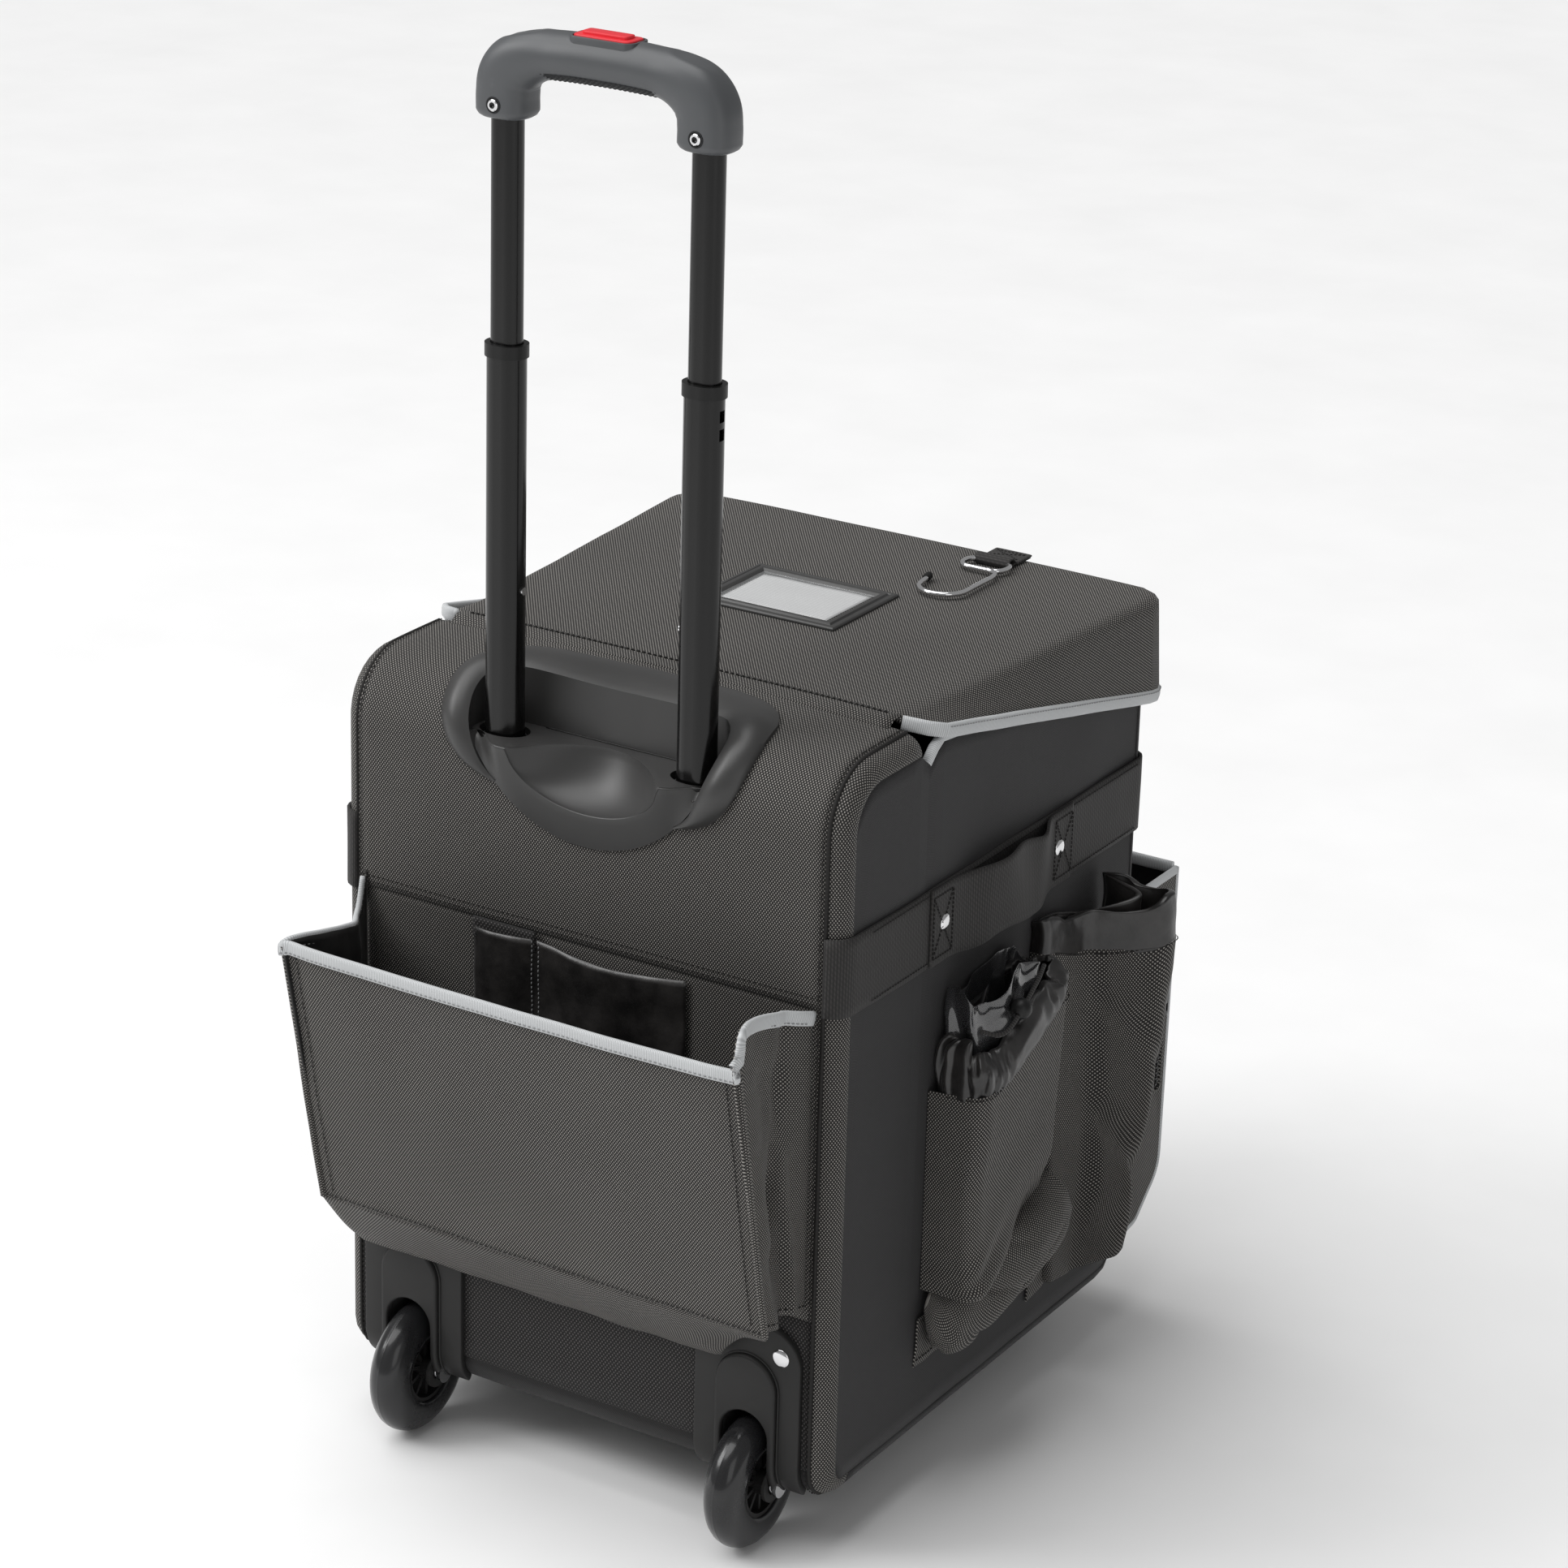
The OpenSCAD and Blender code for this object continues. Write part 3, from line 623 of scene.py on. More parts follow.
def twill_cloth(name, dark, light, pitch=1.1, lift=0.16):
    """Fine black cloth with a faint diagonal rib."""
    paint = Paint(name, Sheen_Weight=0.1, Sheen_Roughness=0.5, Specular_IOR_Level=0.3)
    x, y = paint.cloth_space()
    rib = paint.wave(paint.calc("ADD", x, y), pitch)
    space = paint.object_space()
    cloud = paint.noise(space, 7, 5)
    fuzz = paint.noise(space, 1100, 2)
    tone = paint.calc("MULTIPLY", paint.scaled(rib, 0.35, 0.75), paint.scaled(cloud, 0.7, 1.25))
    paint.colour(paint.mix(paint.calc("MULTIPLY", tone, paint.scaled(fuzz, 0.7, 1.3)), dark, light))
    paint.rough(paint.scaled(cloud, 0.72, 0.88))
    paint.bump(rib, lift, 0.6, paint.bump(cloud, 4.0, 0.2))
    return paint.material


def nylon_cloth(name, dark, light, crumple=1.6, shine=(0.3, 0.5)):
    """Thin satin lining with small creases; its colour is painted lighter on them, a painted sheen where they
    catch the light.
    """
    paint = Paint(name, Sheen_Weight=0.1, Sheen_Roughness=0.35, Specular_IOR_Level=0.6)
    space = paint.object_space()
    crease = paint.noise(space, 34, 5, 0.6)
    fine = paint.noise(space, 1500, 2)
    # painted sheen: the crease noise that shapes the bump also lightens the colour
    paint.colour(paint.mix(paint.contrast(crease, 0.3, 0.75), dark, light))
    paint.rough(paint.scaled(crease, *shine))
    paint.bump(fine, 0.08, 0.35, paint.bump(crease, crumple, 0.5))
    return paint.material


def ribbed_tape(name, dark, light, pitch=1.5, lift=0.25, cross=0.0):
    """Woven tape or webbing: ribs across it, and a second weave along it if cross is set."""
    paint = Paint(name, Sheen_Weight=0.06, Sheen_Roughness=0.5, Specular_IOR_Level=0.3)
    x, y = paint.cloth_space()
    rib = paint.wave(x, pitch)
    if cross:
        rib = paint.calc("MULTIPLY", rib, paint.scaled(paint.wave(paint.calc("ADD", y, x), cross), 0.45, 1.0))
    space = paint.object_space()
    dirt = paint.noise(space, 22, 4)
    fuzz = paint.noise(space, 1400, 2)
    tone = paint.calc("MULTIPLY", paint.scaled(rib, 0.25, 1.0), paint.scaled(fuzz, 0.75, 1.2))
    paint.colour(paint.mix(paint.calc("MULTIPLY", tone, paint.scaled(dirt, 0.8, 1.15)), dark, light))
    paint.rough(paint.scaled(dirt, 0.6, 0.8))
    paint.bump(rib, lift, 0.7)
    return paint.material


def moulding(name, dark, light, grain=1400, lift=0.05, shine=(0.42, 0.58), **fixed):
    """Moulded plastic with a fine spark-eroded grain, and faint scuffs."""
    fixed.setdefault("Specular_IOR_Level", 0.3)
    paint = Paint(name, **fixed)
    space = paint.object_space()
    spark = paint.noise(space, grain, 3)
    cloud = paint.noise(space, 14, 4)
    scuff = paint.contrast(paint.noise(space, 60, 6, 0.7), 0.62, 0.8)
    paint.colour(paint.mix(paint.calc("MULTIPLY_ADD", scuff, 0.25, paint.scaled(cloud, 0.0, 0.6)), dark,
                           light))
    paint.rough(paint.calc("MULTIPLY_ADD", spark, 0.08, paint.scaled(cloud, *shine)))
    paint.bump(spark, lift, 0.5)
    return paint.material


def metal(name, tone, shine=(0.08, 0.2), streak=None):
    """Polished or brushed metal with fine handling marks. streak stretches the marks along x, y and z."""
    paint = Paint(name, Metallic=1.0)
    space = paint.object_space()
    if streak:
        space = paint.node("Mapping", {"Vector": space, "Scale": streak}).outputs[0]
    marks = paint.noise(space, 90, 5, 0.65)
    paint.colour(paint.mix(marks, tone, tuple(c * 0.82 for c in tone[:3]) + (1,)))
    paint.rough(paint.scaled(marks, *shine))
    paint.bump(marks, 0.03, 0.3)
    return paint.material


def clear_film(name, tint, alpha, roughness=0.08):
    """Thin glossy see-through plastic, a little duller in places."""
    paint = Paint(name, Base_Color=tint, Alpha=alpha, Specular_IOR_Level=1.0, Coat_Weight=0.7,
                  Coat_Roughness=0.04)
    ripple = paint.noise(paint.object_space(), 34, 1, 0.3)
    paint.rough(paint.scaled(ripple, roughness, roughness + 0.1))
    return paint.material


def printed_card(name):
    """Pale card with faint ruled stripes."""
    paint = Paint(name, Specular_IOR_Level=0.3)
    space = paint.object_space()
    x = paint.node("SeparateXYZ", {0: space}).outputs["X"]
    stripe = paint.wave(x, 2.6)
    fibre = paint.noise(space, 500, 4)
    tone = paint.calc("MULTIPLY_ADD", stripe, 0.35, paint.scaled(fibre, 0.0, 0.5))
    paint.colour(paint.mix(tone, rgb(176, 176, 176), rgb(205, 205, 205)))
    paint.rough(paint.scaled(fibre, 0.5, 0.7))
    paint.bump(fibre, 0.05, 0.3)
    return paint.material


CLOTH = dotted_cloth("ballistic_cloth", rgb(30, 29, 28), rgb(158, 154, 149))
MESH_CLOTH = dotted_cloth("mesh_cloth", rgb(22, 21, 21), rgb(84, 81, 80), 2.6, 1.7, 0.5)
TWILL = twill_cloth("side_twill", rgb(14, 14, 15), rgb(54, 53, 54))
LINING = nylon_cloth("lining_nylon", rgb(14, 14, 14), rgb(34, 33, 33))
SOFT_NYLON = nylon_cloth("collar_nylon", rgb(16, 15, 15), rgb(46, 44, 43), 1.8, (0.26, 0.42))
BOARD = twill_cloth("base_board_cloth", rgb(12, 12, 12), rgb(38, 37, 37), 2.2)
BINDING = ribbed_tape("binding_tape", rgb(150, 152, 154), rgb(205, 207, 208), 1.2, 0.12)
WEBBING = ribbed_tape("black_webbing", rgb(14, 14, 14), rgb(62, 60, 59), 1.9, 0.35, 3.4)
PLASTIC = moulding("black_moulding", rgb(26, 26, 26), rgb(58, 57, 56))
RIM_PLASTIC = moulding("rim_moulding", rgb(38, 38, 38), rgb(72, 71, 70), 1000, 0.03, (0.32, 0.44),
                       Specular_IOR_Level=0.55)
GRIP = moulding("grip_moulding", rgb(60, 62, 64), rgb(98, 100, 103), 1800, 0.035, (0.34, 0.44),
                Specular_IOR_Level=0.55)
DARK_GRIP = moulding("grip_insert", rgb(22, 23, 24), rgb(44, 45, 47), 1500, 0.04, (0.5, 0.62))
GLOSS = moulding("gloss_black", rgb(7, 7, 7), rgb(16, 15, 15), 300, 0.01, (0.1, 0.22),
                 Specular_IOR_Level=0.35)
COLLAR = moulding("collar_plastic_black", rgb(12, 12, 12), rgb(30, 30, 30), 1500, 0.03, (0.3, 0.45))
HUB = moulding("hub_moulding", rgb(16, 16, 16), rgb(46, 45, 45), 1200, 0.04, (0.35, 0.5))
TYRE = moulding("tyre_urethane", rgb(20, 20, 21), rgb(50, 50, 52), 260, 0.05, (0.16, 0.34),
                Coat_Weight=0.45, Coat_Roughness=0.12)
FOOT = moulding("foot_rubber_black", rgb(14, 14, 14), rgb(40, 39, 38), 900, 0.08, (0.7, 0.85))
RED = moulding("red_plastic", rgb(214, 34, 46), rgb(244, 74, 84), 1600, 0.02, (0.3, 0.42))
CHROME = metal("chrome_plate", (0.82, 0.82, 0.83, 1))
STEEL = metal("bare_steel", (0.42, 0.42, 0.43, 1), (0.25, 0.45), (1, 1, 0.04))
SPRING = metal("spring_wire", (0.5, 0.49, 0.47, 1), (0.2, 0.35))
FILM = clear_film("clear_film", (0.04, 0.04, 0.042, 1), 0.7, 0.08)
WINDOW = clear_film("clear_window", (0.9, 0.92, 0.93, 1), 0.12, 0.03)
CARD = printed_card("label_card_paper")
CORD = ribbed_tape("black_cord", rgb(10, 10, 10), rgb(58, 56, 55), 2.0, 0.5, 2.0)
DARK_THREAD = moulding("dark_thread", rgb(16, 15, 15), rgb(50, 48, 46), 1500, 0.05, (0.6, 0.75))
PALE_THREAD = moulding("pale_thread", rgb(120, 121, 122), rgb(160, 161, 162), 1500, 0.05, (0.6, 0.75))


# ---- the case ----

CASE_D = span("front_panel")[1].y
CASE_TOP = span("upper_back_panel")[1].z
CASE_BASE = span("bottom_panel")[0].z
HINGE_Y = span("lid_panel")[0].y
REAR_R = 40
EDGE_R = 22
CORNER_R = 12
BELT_X = SIDE_X - CORNER_R
SEAM_Z = span("lower_back_panel")[1].z
OPEN_BACK = Vector((95, 498))
OPEN_FRONT = Vector((CASE_D, 484))
OUTLINE = Outline([OPEN_FRONT, (CASE_D, CASE_BASE, EDGE_R), (0, CASE_BASE, EDGE_R), (0, CASE_TOP, REAR_R),
                   (HINGE_Y - 4, CASE_TOP)], 14)
ARC = EDGE_R * math.pi / 2
FRONT_RUN = OPEN_FRONT.y - CASE_BASE - EDGE_R
UNDER_RUN = CASE_D - 2 * EDGE_R
REAR_START = FRONT_RUN + ARC + UNDER_RUN + ARC
WHEEL = (span("hub_right")[0] + span("hub_right")[1]) / 2
# Half the width of the notch in the cloth over a wheel, and its top.
WELL = 20
NOTCH_Z = 101
# How much higher the cloth swells in the middle of the rounded top.
BACK_CROWN = 6
# Half the width of the opening in the back's cloth behind the bezel.
RECESS_HALF = 97
# How far the side walls' rim stands above a straight line just in front of the hinge.
RIM_RISE = 13


def rear_s(z):
    """How far along the outline a height on the rear face is."""
    return REAR_START + z - CASE_BASE - EDGE_R


def skin(x, s, out=0.0):
    """A point of the case's outer cloth, x across and s along its outline, out proud of it."""
    spot, normal = OUTLINE.at(s)
    rise = 0.0
    if s > REAR_START:
        rise = BACK_CROWN * (1 - (x / BELT_X) ** 2) * smooth((spot.x - REAR_R) / 45)
    reach = out + 0.6 * noise.noise(Vector((x, s, 0)) / 60)
    return x, spot.x + normal.x * reach, spot.y + normal.y * reach + rise


def side_top(y):
    """Height of a side wall's upper edge: round at the rear, down at the hinge, then along the opening."""
    inner = REAR_R - CORNER_R
    if y < REAR_R:
        return CASE_TOP - REAR_R + math.sqrt(max(inner ** 2 - (REAR_R - y) ** 2, 0))
    rim = lerp(OPEN_BACK.y, OPEN_FRONT.y, (y - OPEN_BACK.x) / (CASE_D - OPEN_BACK.x))
    rim += RIM_RISE * smooth((y - HINGE_Y - 6) / 14) * (1 - smooth((y - HINGE_Y) / 190))
    return lerp(CASE_TOP - CORNER_R, rim, smooth((y - HINGE_Y + 6) / 12))


def side_low(y):
    """Height of a side wall's lower edge, with its round corners."""
    inner = EDGE_R - CORNER_R
    near = min(y, CASE_D - y)
    return CASE_BASE + EDGE_R - (math.sqrt(max(inner ** 2 - max(EDGE_R - near, 0) ** 2, 0)))


def make_case():
    back_x = [-BELT_X, *range(-160, -RECESS_HALF, 9), -RECESS_HALF, *range(-88, 89, 11), RECESS_HALF,
              *range(106, 162, 9), BELT_X]
    top_s = steps(60, rear_s(SEAM_Z - 2), OUTLINE.length)
    recess = (rear_s(483), OUTLINE.length - 40)

    def in_recess(x, s):
        half = RECESS_HALF if s > recess[0] else 55
        return abs(x) < half and rear_s(458) < s < recess[1]
    upper = sheet("upper_back_cloth", lambda x, s: skin(x, s, 0.9), back_x, top_s, CLOTH, 2.4, LINING,
                  in_recess)
    fit(upper, "case", "ballistic_fabric", "upper_back_panel")

    well = [WHEEL.x - WELL, WHEEL.x + WELL]
    low_x = sorted([-BELT_X, BELT_X, *well, *(-x for x in well), *range(-100, 101, 10), 155, -155])
    low_s = [rear_s(CASE_BASE + EDGE_R), rear_s(80), rear_s(NOTCH_Z),
             *[rear_s(z) for z in range(115, 366, 10)], rear_s(SEAM_Z + 4)]

    def in_well(x, s):
        return well[0] < abs(x) < well[1] and rear_s(-20) < s < rear_s(NOTCH_Z)

    behind = [s for s in low_s if s >= rear_s(165)]
    lower = [sheet("mesh", skin, low_x, [s for s in low_s if s <= behind[0]], MESH_CLOTH, 2.4, LINING,
                   hole=in_well), sheet("behind_pocket", skin, low_x, behind, CLOTH, 2.4, LINING)]
    fit(join("lower_back_cloth", lower), "case", "mesh_fabric", "lower_back_panel")

    under_s = [FRONT_RUN - 4, *[FRONT_RUN + ARC * t for t in steps(6)],
               *[FRONT_RUN + ARC + UNDER_RUN * t for t in steps(30)][1:],
               *[REAR_START - ARC * (1 - t) for t in steps(6)][1:]]
    notch_start = REAR_START - ARC - 38
    under_s = sorted(set(under_s + [notch_start]))
    under = sheet("base_board_cover", skin, low_x, under_s, BOARD, 2.4, LINING,
                  hole=lambda x, s: well[0] < abs(x) < well[1] and s > notch_start)
    fit(under, "case", "base_board", "bottom_panel")

    front = sheet("front_cloth", lambda x, s: skin(x, s), steps(24, -BELT_X, BELT_X),
                  steps(24, 0, FRONT_RUN - 4), CLOTH, 2.4, LINING)
    fit(front, "case", "ballistic_fabric", "front_panel")

    def corner(side, name, start, end, material, count):
        def point(u, s):
            spot, normal = OUTLINE.at(s)
            turn = u * math.pi / 2
            inset = CORNER_R * (1 - math.cos(turn))
            return (side * (BELT_X + CORNER_R * math.sin(turn)),
                    spot.x - normal.x * inset, spot.y - normal.y * inset)
        us = steps(7)[::side]
        return sheet(name, point, us, steps(count, start, end), material, 2.0)

    low_end = REAR_START - ARC - 6
    strips = [corner(side, f"rear_binding_{name}", low_end, OUTLINE.length, CLOTH, 70)
              for side, name in SIDES]
    seams = [stitches("seam", [skin(side * (BELT_X - 2.2), s, 1.6) for s in
                               steps(60, low_end, OUTLINE.length)], DARK_THREAD, (0, -1, 0.2))
             for side in (1, -1)]
    fit(join("rear_bindings_cloth", strips + seams), "case", "ballistic_fabric", "rear_bindings")
    cord_runs = [sweep("run", [skin(side * (BELT_X + 0.4), s, 0.2) for s in
                               steps(70, low_end, OUTLINE.length)],
                       ring_section(1.5, 1.3, 8), DARK_THREAD) for side in (1, -1)]
    fit(join("rear_seam_cords", cord_runs), "case", "ballistic_fabric")

    for side, name in SIDES:
        ys = [CORNER_R, 13, 15, 18, EDGE_R, 28, 34, REAR_R, *range(50, 355, 9), CASE_D - EDGE_R, 360, 363,
              365, CASE_D - CORNER_R]

        def side_point(y, v, side=side):
            z = lerp(side_low(y), side_top(y), v)
            swell = 1.2 * math.sin(math.pi * v) * math.sin(math.pi * (y - CORNER_R) / (CASE_D - 2 * CORNER_R))
            return side * (SIDE_X + swell - 0.4 + 0.5 * noise.noise(Vector((y, z, side * 50)) / 55)), y, z
        wall = sheet("wall", side_point, ys[::side], steps(40), TWILL, 4.2, LINING)
        edges = [corner(side, "edge", 0, low_end + 2, TWILL, 60)]
        fit(join(f"side_cloth_{name}", [wall, *edges]), "case", "twill_fabric", f"side_panel_{name}")

    path = [Vector((SIDE_X - 2.6, y, side_top(y) + 0.6)) for y in steps(34, HINGE_Y + 6, CASE_D - 14)]
    path += curve([path[-1], (SIDE_X - 6, CASE_D - 5.5, OPEN_FRONT.y + 0.4),
                   (SIDE_X - 14, CASE_D - 2.2, OPEN_FRONT.y)], 8)[1:]
    path = path + [Vector((-p.x, p.y, p.z)) for p in reversed(path)]
    across = [Vector((p.x, 0, 0)).normalized() if abs(p.x) > SIDE_X - 4 else (0, 1, 0) for p in path]
    tape = sweep("opening_tape", path, ring_section(3.0, 3.2, 14, 3.0), BINDING, across)
    fit(tape, "case", "grey_binding", "opening_binding")

    stitch_lines = [stitches("line", [skin(x, rear_s(z), 1.0 if z > SEAM_Z else 1.3)
                                      for x in steps(80, -BELT_X + 2, BELT_X - 2)], DARK_THREAD)
                    for z in (SEAM_Z + 1.5, SEAM_Z + 5.5)]
    fit(join("back_seam_stitches", stitch_lines), "case", "ballistic_fabric")


# ---- the lid ----

LID_TOP = span("lid_panel")[1].z
LID_FRONT_Y = span("lid_flaps")[1].y
LID_REAR_HALF = 160
LID_FRONT_HALF = 187
LID_SHOULDER = 8
LID_CORNER = 15


def hem(y):
    """Height of the flaps' lower edge, which rises to the hinge at the rear."""
    straight = lerp(510, 455, (y - 135) / (388 - 135))
    return lerp(LID_TOP - 4, straight, smooth((y - HINGE_Y + 4) / 20))


def lid_edge_points(count_side, count_front):
    """(a, b) of the top's rim, anticlockwise from the rear right."""
    right = [(1.0, b) for b in steps(count_side)]
    front = [(a, 1.0) for a in steps(count_front, 1.0, -1.0)][1:]
    left = [(-1.0, b) for b in steps(count_side, 1.0, 0.0)][1:]
    return right + front + left


# The lid's cloth starts this far in front of the hinge line, where the hinge strip meets it.
LID_LEAD = 4.5
LID_COLUMNS = 30
LID_ROWS = 36


def lid_plan(a, b):
    """Inner rim of the lid's flat top, with round front corners, and its outward direction."""
    y = lerp(HINGE_Y + LID_LEAD, LID_FRONT_Y - LID_SHOULDER, b)
    half = lerp(LID_REAR_HALF, LID_FRONT_HALF, b) - LID_SHOULDER
    x = a * half
    radius = LID_CORNER
    dx = (abs(x) - half + radius) / radius
    dy = (y - LID_FRONT_Y + LID_SHOULDER + radius) / radius
    out = Vector((math.copysign(1, a), 0)) if abs(a) == 1 else Vector((0, 1))
    if dx > 0 and dy > 0:
        round_x, round_y = dx * math.sqrt(1 - dy * dy / 2), dy * math.sqrt(1 - dx * dx / 2)
        x = math.copysign(half - radius + round_x * radius, x)
        y = LID_FRONT_Y - LID_SHOULDER - radius + round_y * radius
        out = Vector((math.copysign(round_x, a), round_y)).normalized()
    return Vector((x, y)), out


def make_lid():
    columns, rows = steps(LID_COLUMNS, -1.0, 1.0), steps(LID_ROWS)
    points = []
    for b in rows:
        for a in columns:
            spot, _ = lid_plan(a, b)
            crown = -1.2 * abs(a) ** 4 + 0.35 * noise.noise(Vector((spot.x, spot.y, 9)) / 70)
            points.append((spot.x, spot.y, LID_TOP + crown))
    width = len(columns)
    faces, uvs = [], []
    for j in range(len(rows) - 1):
        for i in range(width - 1):
            k = j * width + i
            quad = (k, k + 1, k + 1 + width, k + width)
            faces.append(quad)
            uvs.append([(points[n][0] * MM, points[n][1] * MM) for n in quad])
    index = {(a, b): j * width + i for j, b in enumerate(rows) for i, a in enumerate(columns)}
    rim = lid_edge_points(LID_ROWS, LID_COLUMNS)
    down = 14
    columns_down, columns_uv = [], []
    hem_path, hem_out = [], []
    for n, (a, b) in enumerate(rim):
        spot, out = lid_plan(a, b)
        key = index[(min(columns, key=lambda c: abs(c - a)), min(rows, key=lambda r: abs(r - b)))]
        edge_y = spot.y
        depth = LID_TOP - hem(edge_y)
        lean = max(184 + 4 * b - abs(spot.x) - LID_SHOULDER,
                   0.8) * abs(out.x) * smooth((edge_y - HINGE_Y) / 20)
        fall = Outline([(0, 0), (LID_SHOULDER, -1.2, 6), (LID_SHOULDER + lean, -depth)], 6)
        start = points[key][2]
        column, pairs = [key], [(spot.x * MM, spot.y * MM)]
        for t in steps(down)[1:]:
            across, drop = fall.spot(fall.length * t)
            ruffle = 0.9 * t * noise.noise(Vector((spot.x, edge_y, 3)) / 28)
            reach = across + ruffle
            column.append(len(points))
            points.append((spot.x + out.x * reach, spot.y + out.y * reach, start + drop))
            run = fall.length * t
            pairs.append(((spot.x + out.x * run) * MM, (spot.y + out.y * run) * MM))
        hem_path.append(Vector(points[-1]))
        hem_out.append(Vector((out.x, out.y, 0)))
        columns_down.append(column)
        columns_uv.append(pairs)
    for n in range(len(rim) - 1):
        for j in range(down):
            quad = [(n, j), (n, j + 1), (n + 1, j + 1), (n + 1, j)]
            faces.append(tuple(columns_down[i][k] for i, k in quad))
            uvs.append([columns_uv[i][k] for i, k in quad])
    shell = build("lid_cloth", points, faces, CLOTH, uvs)
    shell.data.materials.append(LINING)
    modify(shell, "SOLIDIFY", thickness=3.0 * MM, offset=-1, use_even_offset=False, material_offset=1,
           material_offset_rim=0)
    fit(shell, "lid", "ballistic_fabric", "lid_panel", "lid_flaps")

    section = ring_section(4.6, 2.3, 14, 3.0)
    path = [p + Vector((0, 0, 1.6)) - out * 1.5 for p, out in zip(hem_path, hem_out)]
    tape = sweep("lid_hem_tape", path, section, BINDING, across=[(0, 0, 1)] * len(path))
    line = stitches("line",
                    [p + Vector((0, 0, 4.4)) + out * 0.9 for p, out in zip(hem_path, hem_out)][2:-2],
                    PALE_THREAD, (1, 0, 0), 3.4, 2.3, 0.4)
    fit(join("lid_hem_binding", [tape, line]), "lid", "grey_binding", "lid_piping")

    def hinge_point(x, y):
        low = CASE_TOP + 6.3 * (1 - (x / BELT_X) ** 2) + 0.9
        high = LID_TOP + 0.1 - 1.2 * (abs(x) / LID_REAR_HALF) ** 4
        return x, y, lerp(low, high, smooth((y - HINGE_Y + 8) / 9))
    hinge_rows = [HINGE_Y + d for d in (-8, -6, -4, -2, -1, 0, 1, 2, 4, 6, 8)]
    hinge = sheet("lid_hinge_cloth", hinge_point, steps(40, -LID_REAR_HALF + 1, LID_REAR_HALF - 1),
                  hinge_rows, CLOTH, 1.0)
    place((0, HINGE_Y - 5, LID_TOP))
    place((0, HINGE_Y + 4, LID_TOP))
    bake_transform(hinge)
    seam = stitches("lid_hinge_stitches",
                    [(x, HINGE_Y + 5.0, LID_TOP + 0.5 - 1.2 * (abs(x) / LID_REAR_HALF) ** 4)
                     for x in steps(60, -LID_REAR_HALF + 8, LID_REAR_HALF - 8)], DARK_THREAD, (0, 0, 1),
                    4.0, 3.0, 0.6)
    fit(seam, "lid", "ballistic_fabric")


def make_window():
    low, high = span("window_frame")
    centre, half = (low + high) / 2, (high - low) / 2
    profile = [(0, 0), (0, 1.6), (0.8, 2.4), (3.4, 2.8), (4.0, 2.0), (4.8, 2.0), (5.4, 3.4), (8.4, 3.2),
               (9.6, 2.2), (11.0, 1.0), (11.0, 0)]
    points, faces = [], []
    for inset, height in profile:
        w, d = half.x - inset, half.y - inset
        points += [(centre.x + sx * w, centre.y + sy * d, low.z + height) for sx,
                   sy in ((1, -1), (1, 1), (-1, 1), (-1, -1))]
    for i in range(len(profile)):
        n = (i + 1) % len(profile)
        for k in range(4):
            m = (k + 1) % 4
            faces.append((4 * i + k, 4 * i + m, 4 * n + m, 4 * n + k))
    rim = build("window_rim", points, faces, RIM_PLASTIC, sharp=20)
    modify(rim, "BEVEL", width=0.35 * MM, segments=2, limit_method="ANGLE", angle_limit=math.radians(25))
    rim.data.set_sharp_from_angle(angle=math.radians(30))
    fit(rim, "lid", "moulded_plastic", "window_frame")

    low, high = span("label_card")
    w, d = (high.x - low.x) / 2 - 1.5, (high.y - low.y) / 2 - 1.0

    def card_point(u, v):
        curl = 1.1 * bell(u - 0.12, 0.16) * v + 0.5 * noise.noise(Vector((u * 3, v * 2, 5)))
        x, y = centre.x + (u * 2 - 1) * w, low.y + 2 + v * 2 * d - 3.0 * v * bell(u, 0.3)
        return x, y, low.z + 0.7 + curl * 0.6
    card = sheet("label_card_sheet", card_point, steps(24), steps(16), CARD, 0.35)
    fit(card, "lid", "card", "label_card")
    low, high = span("label_window")

    def film_point(u, v):
        return lerp(low.x, high.x, u), lerp(low.y, high.y,
                                            v), high.z + 0.5 * noise.noise(Vector((u * 4, v * 3, 1)))
    film = sheet("label_film", film_point, steps(24), steps(18), WINDOW, 0.3)
    fit(film, "lid", "clear_window", "label_window")


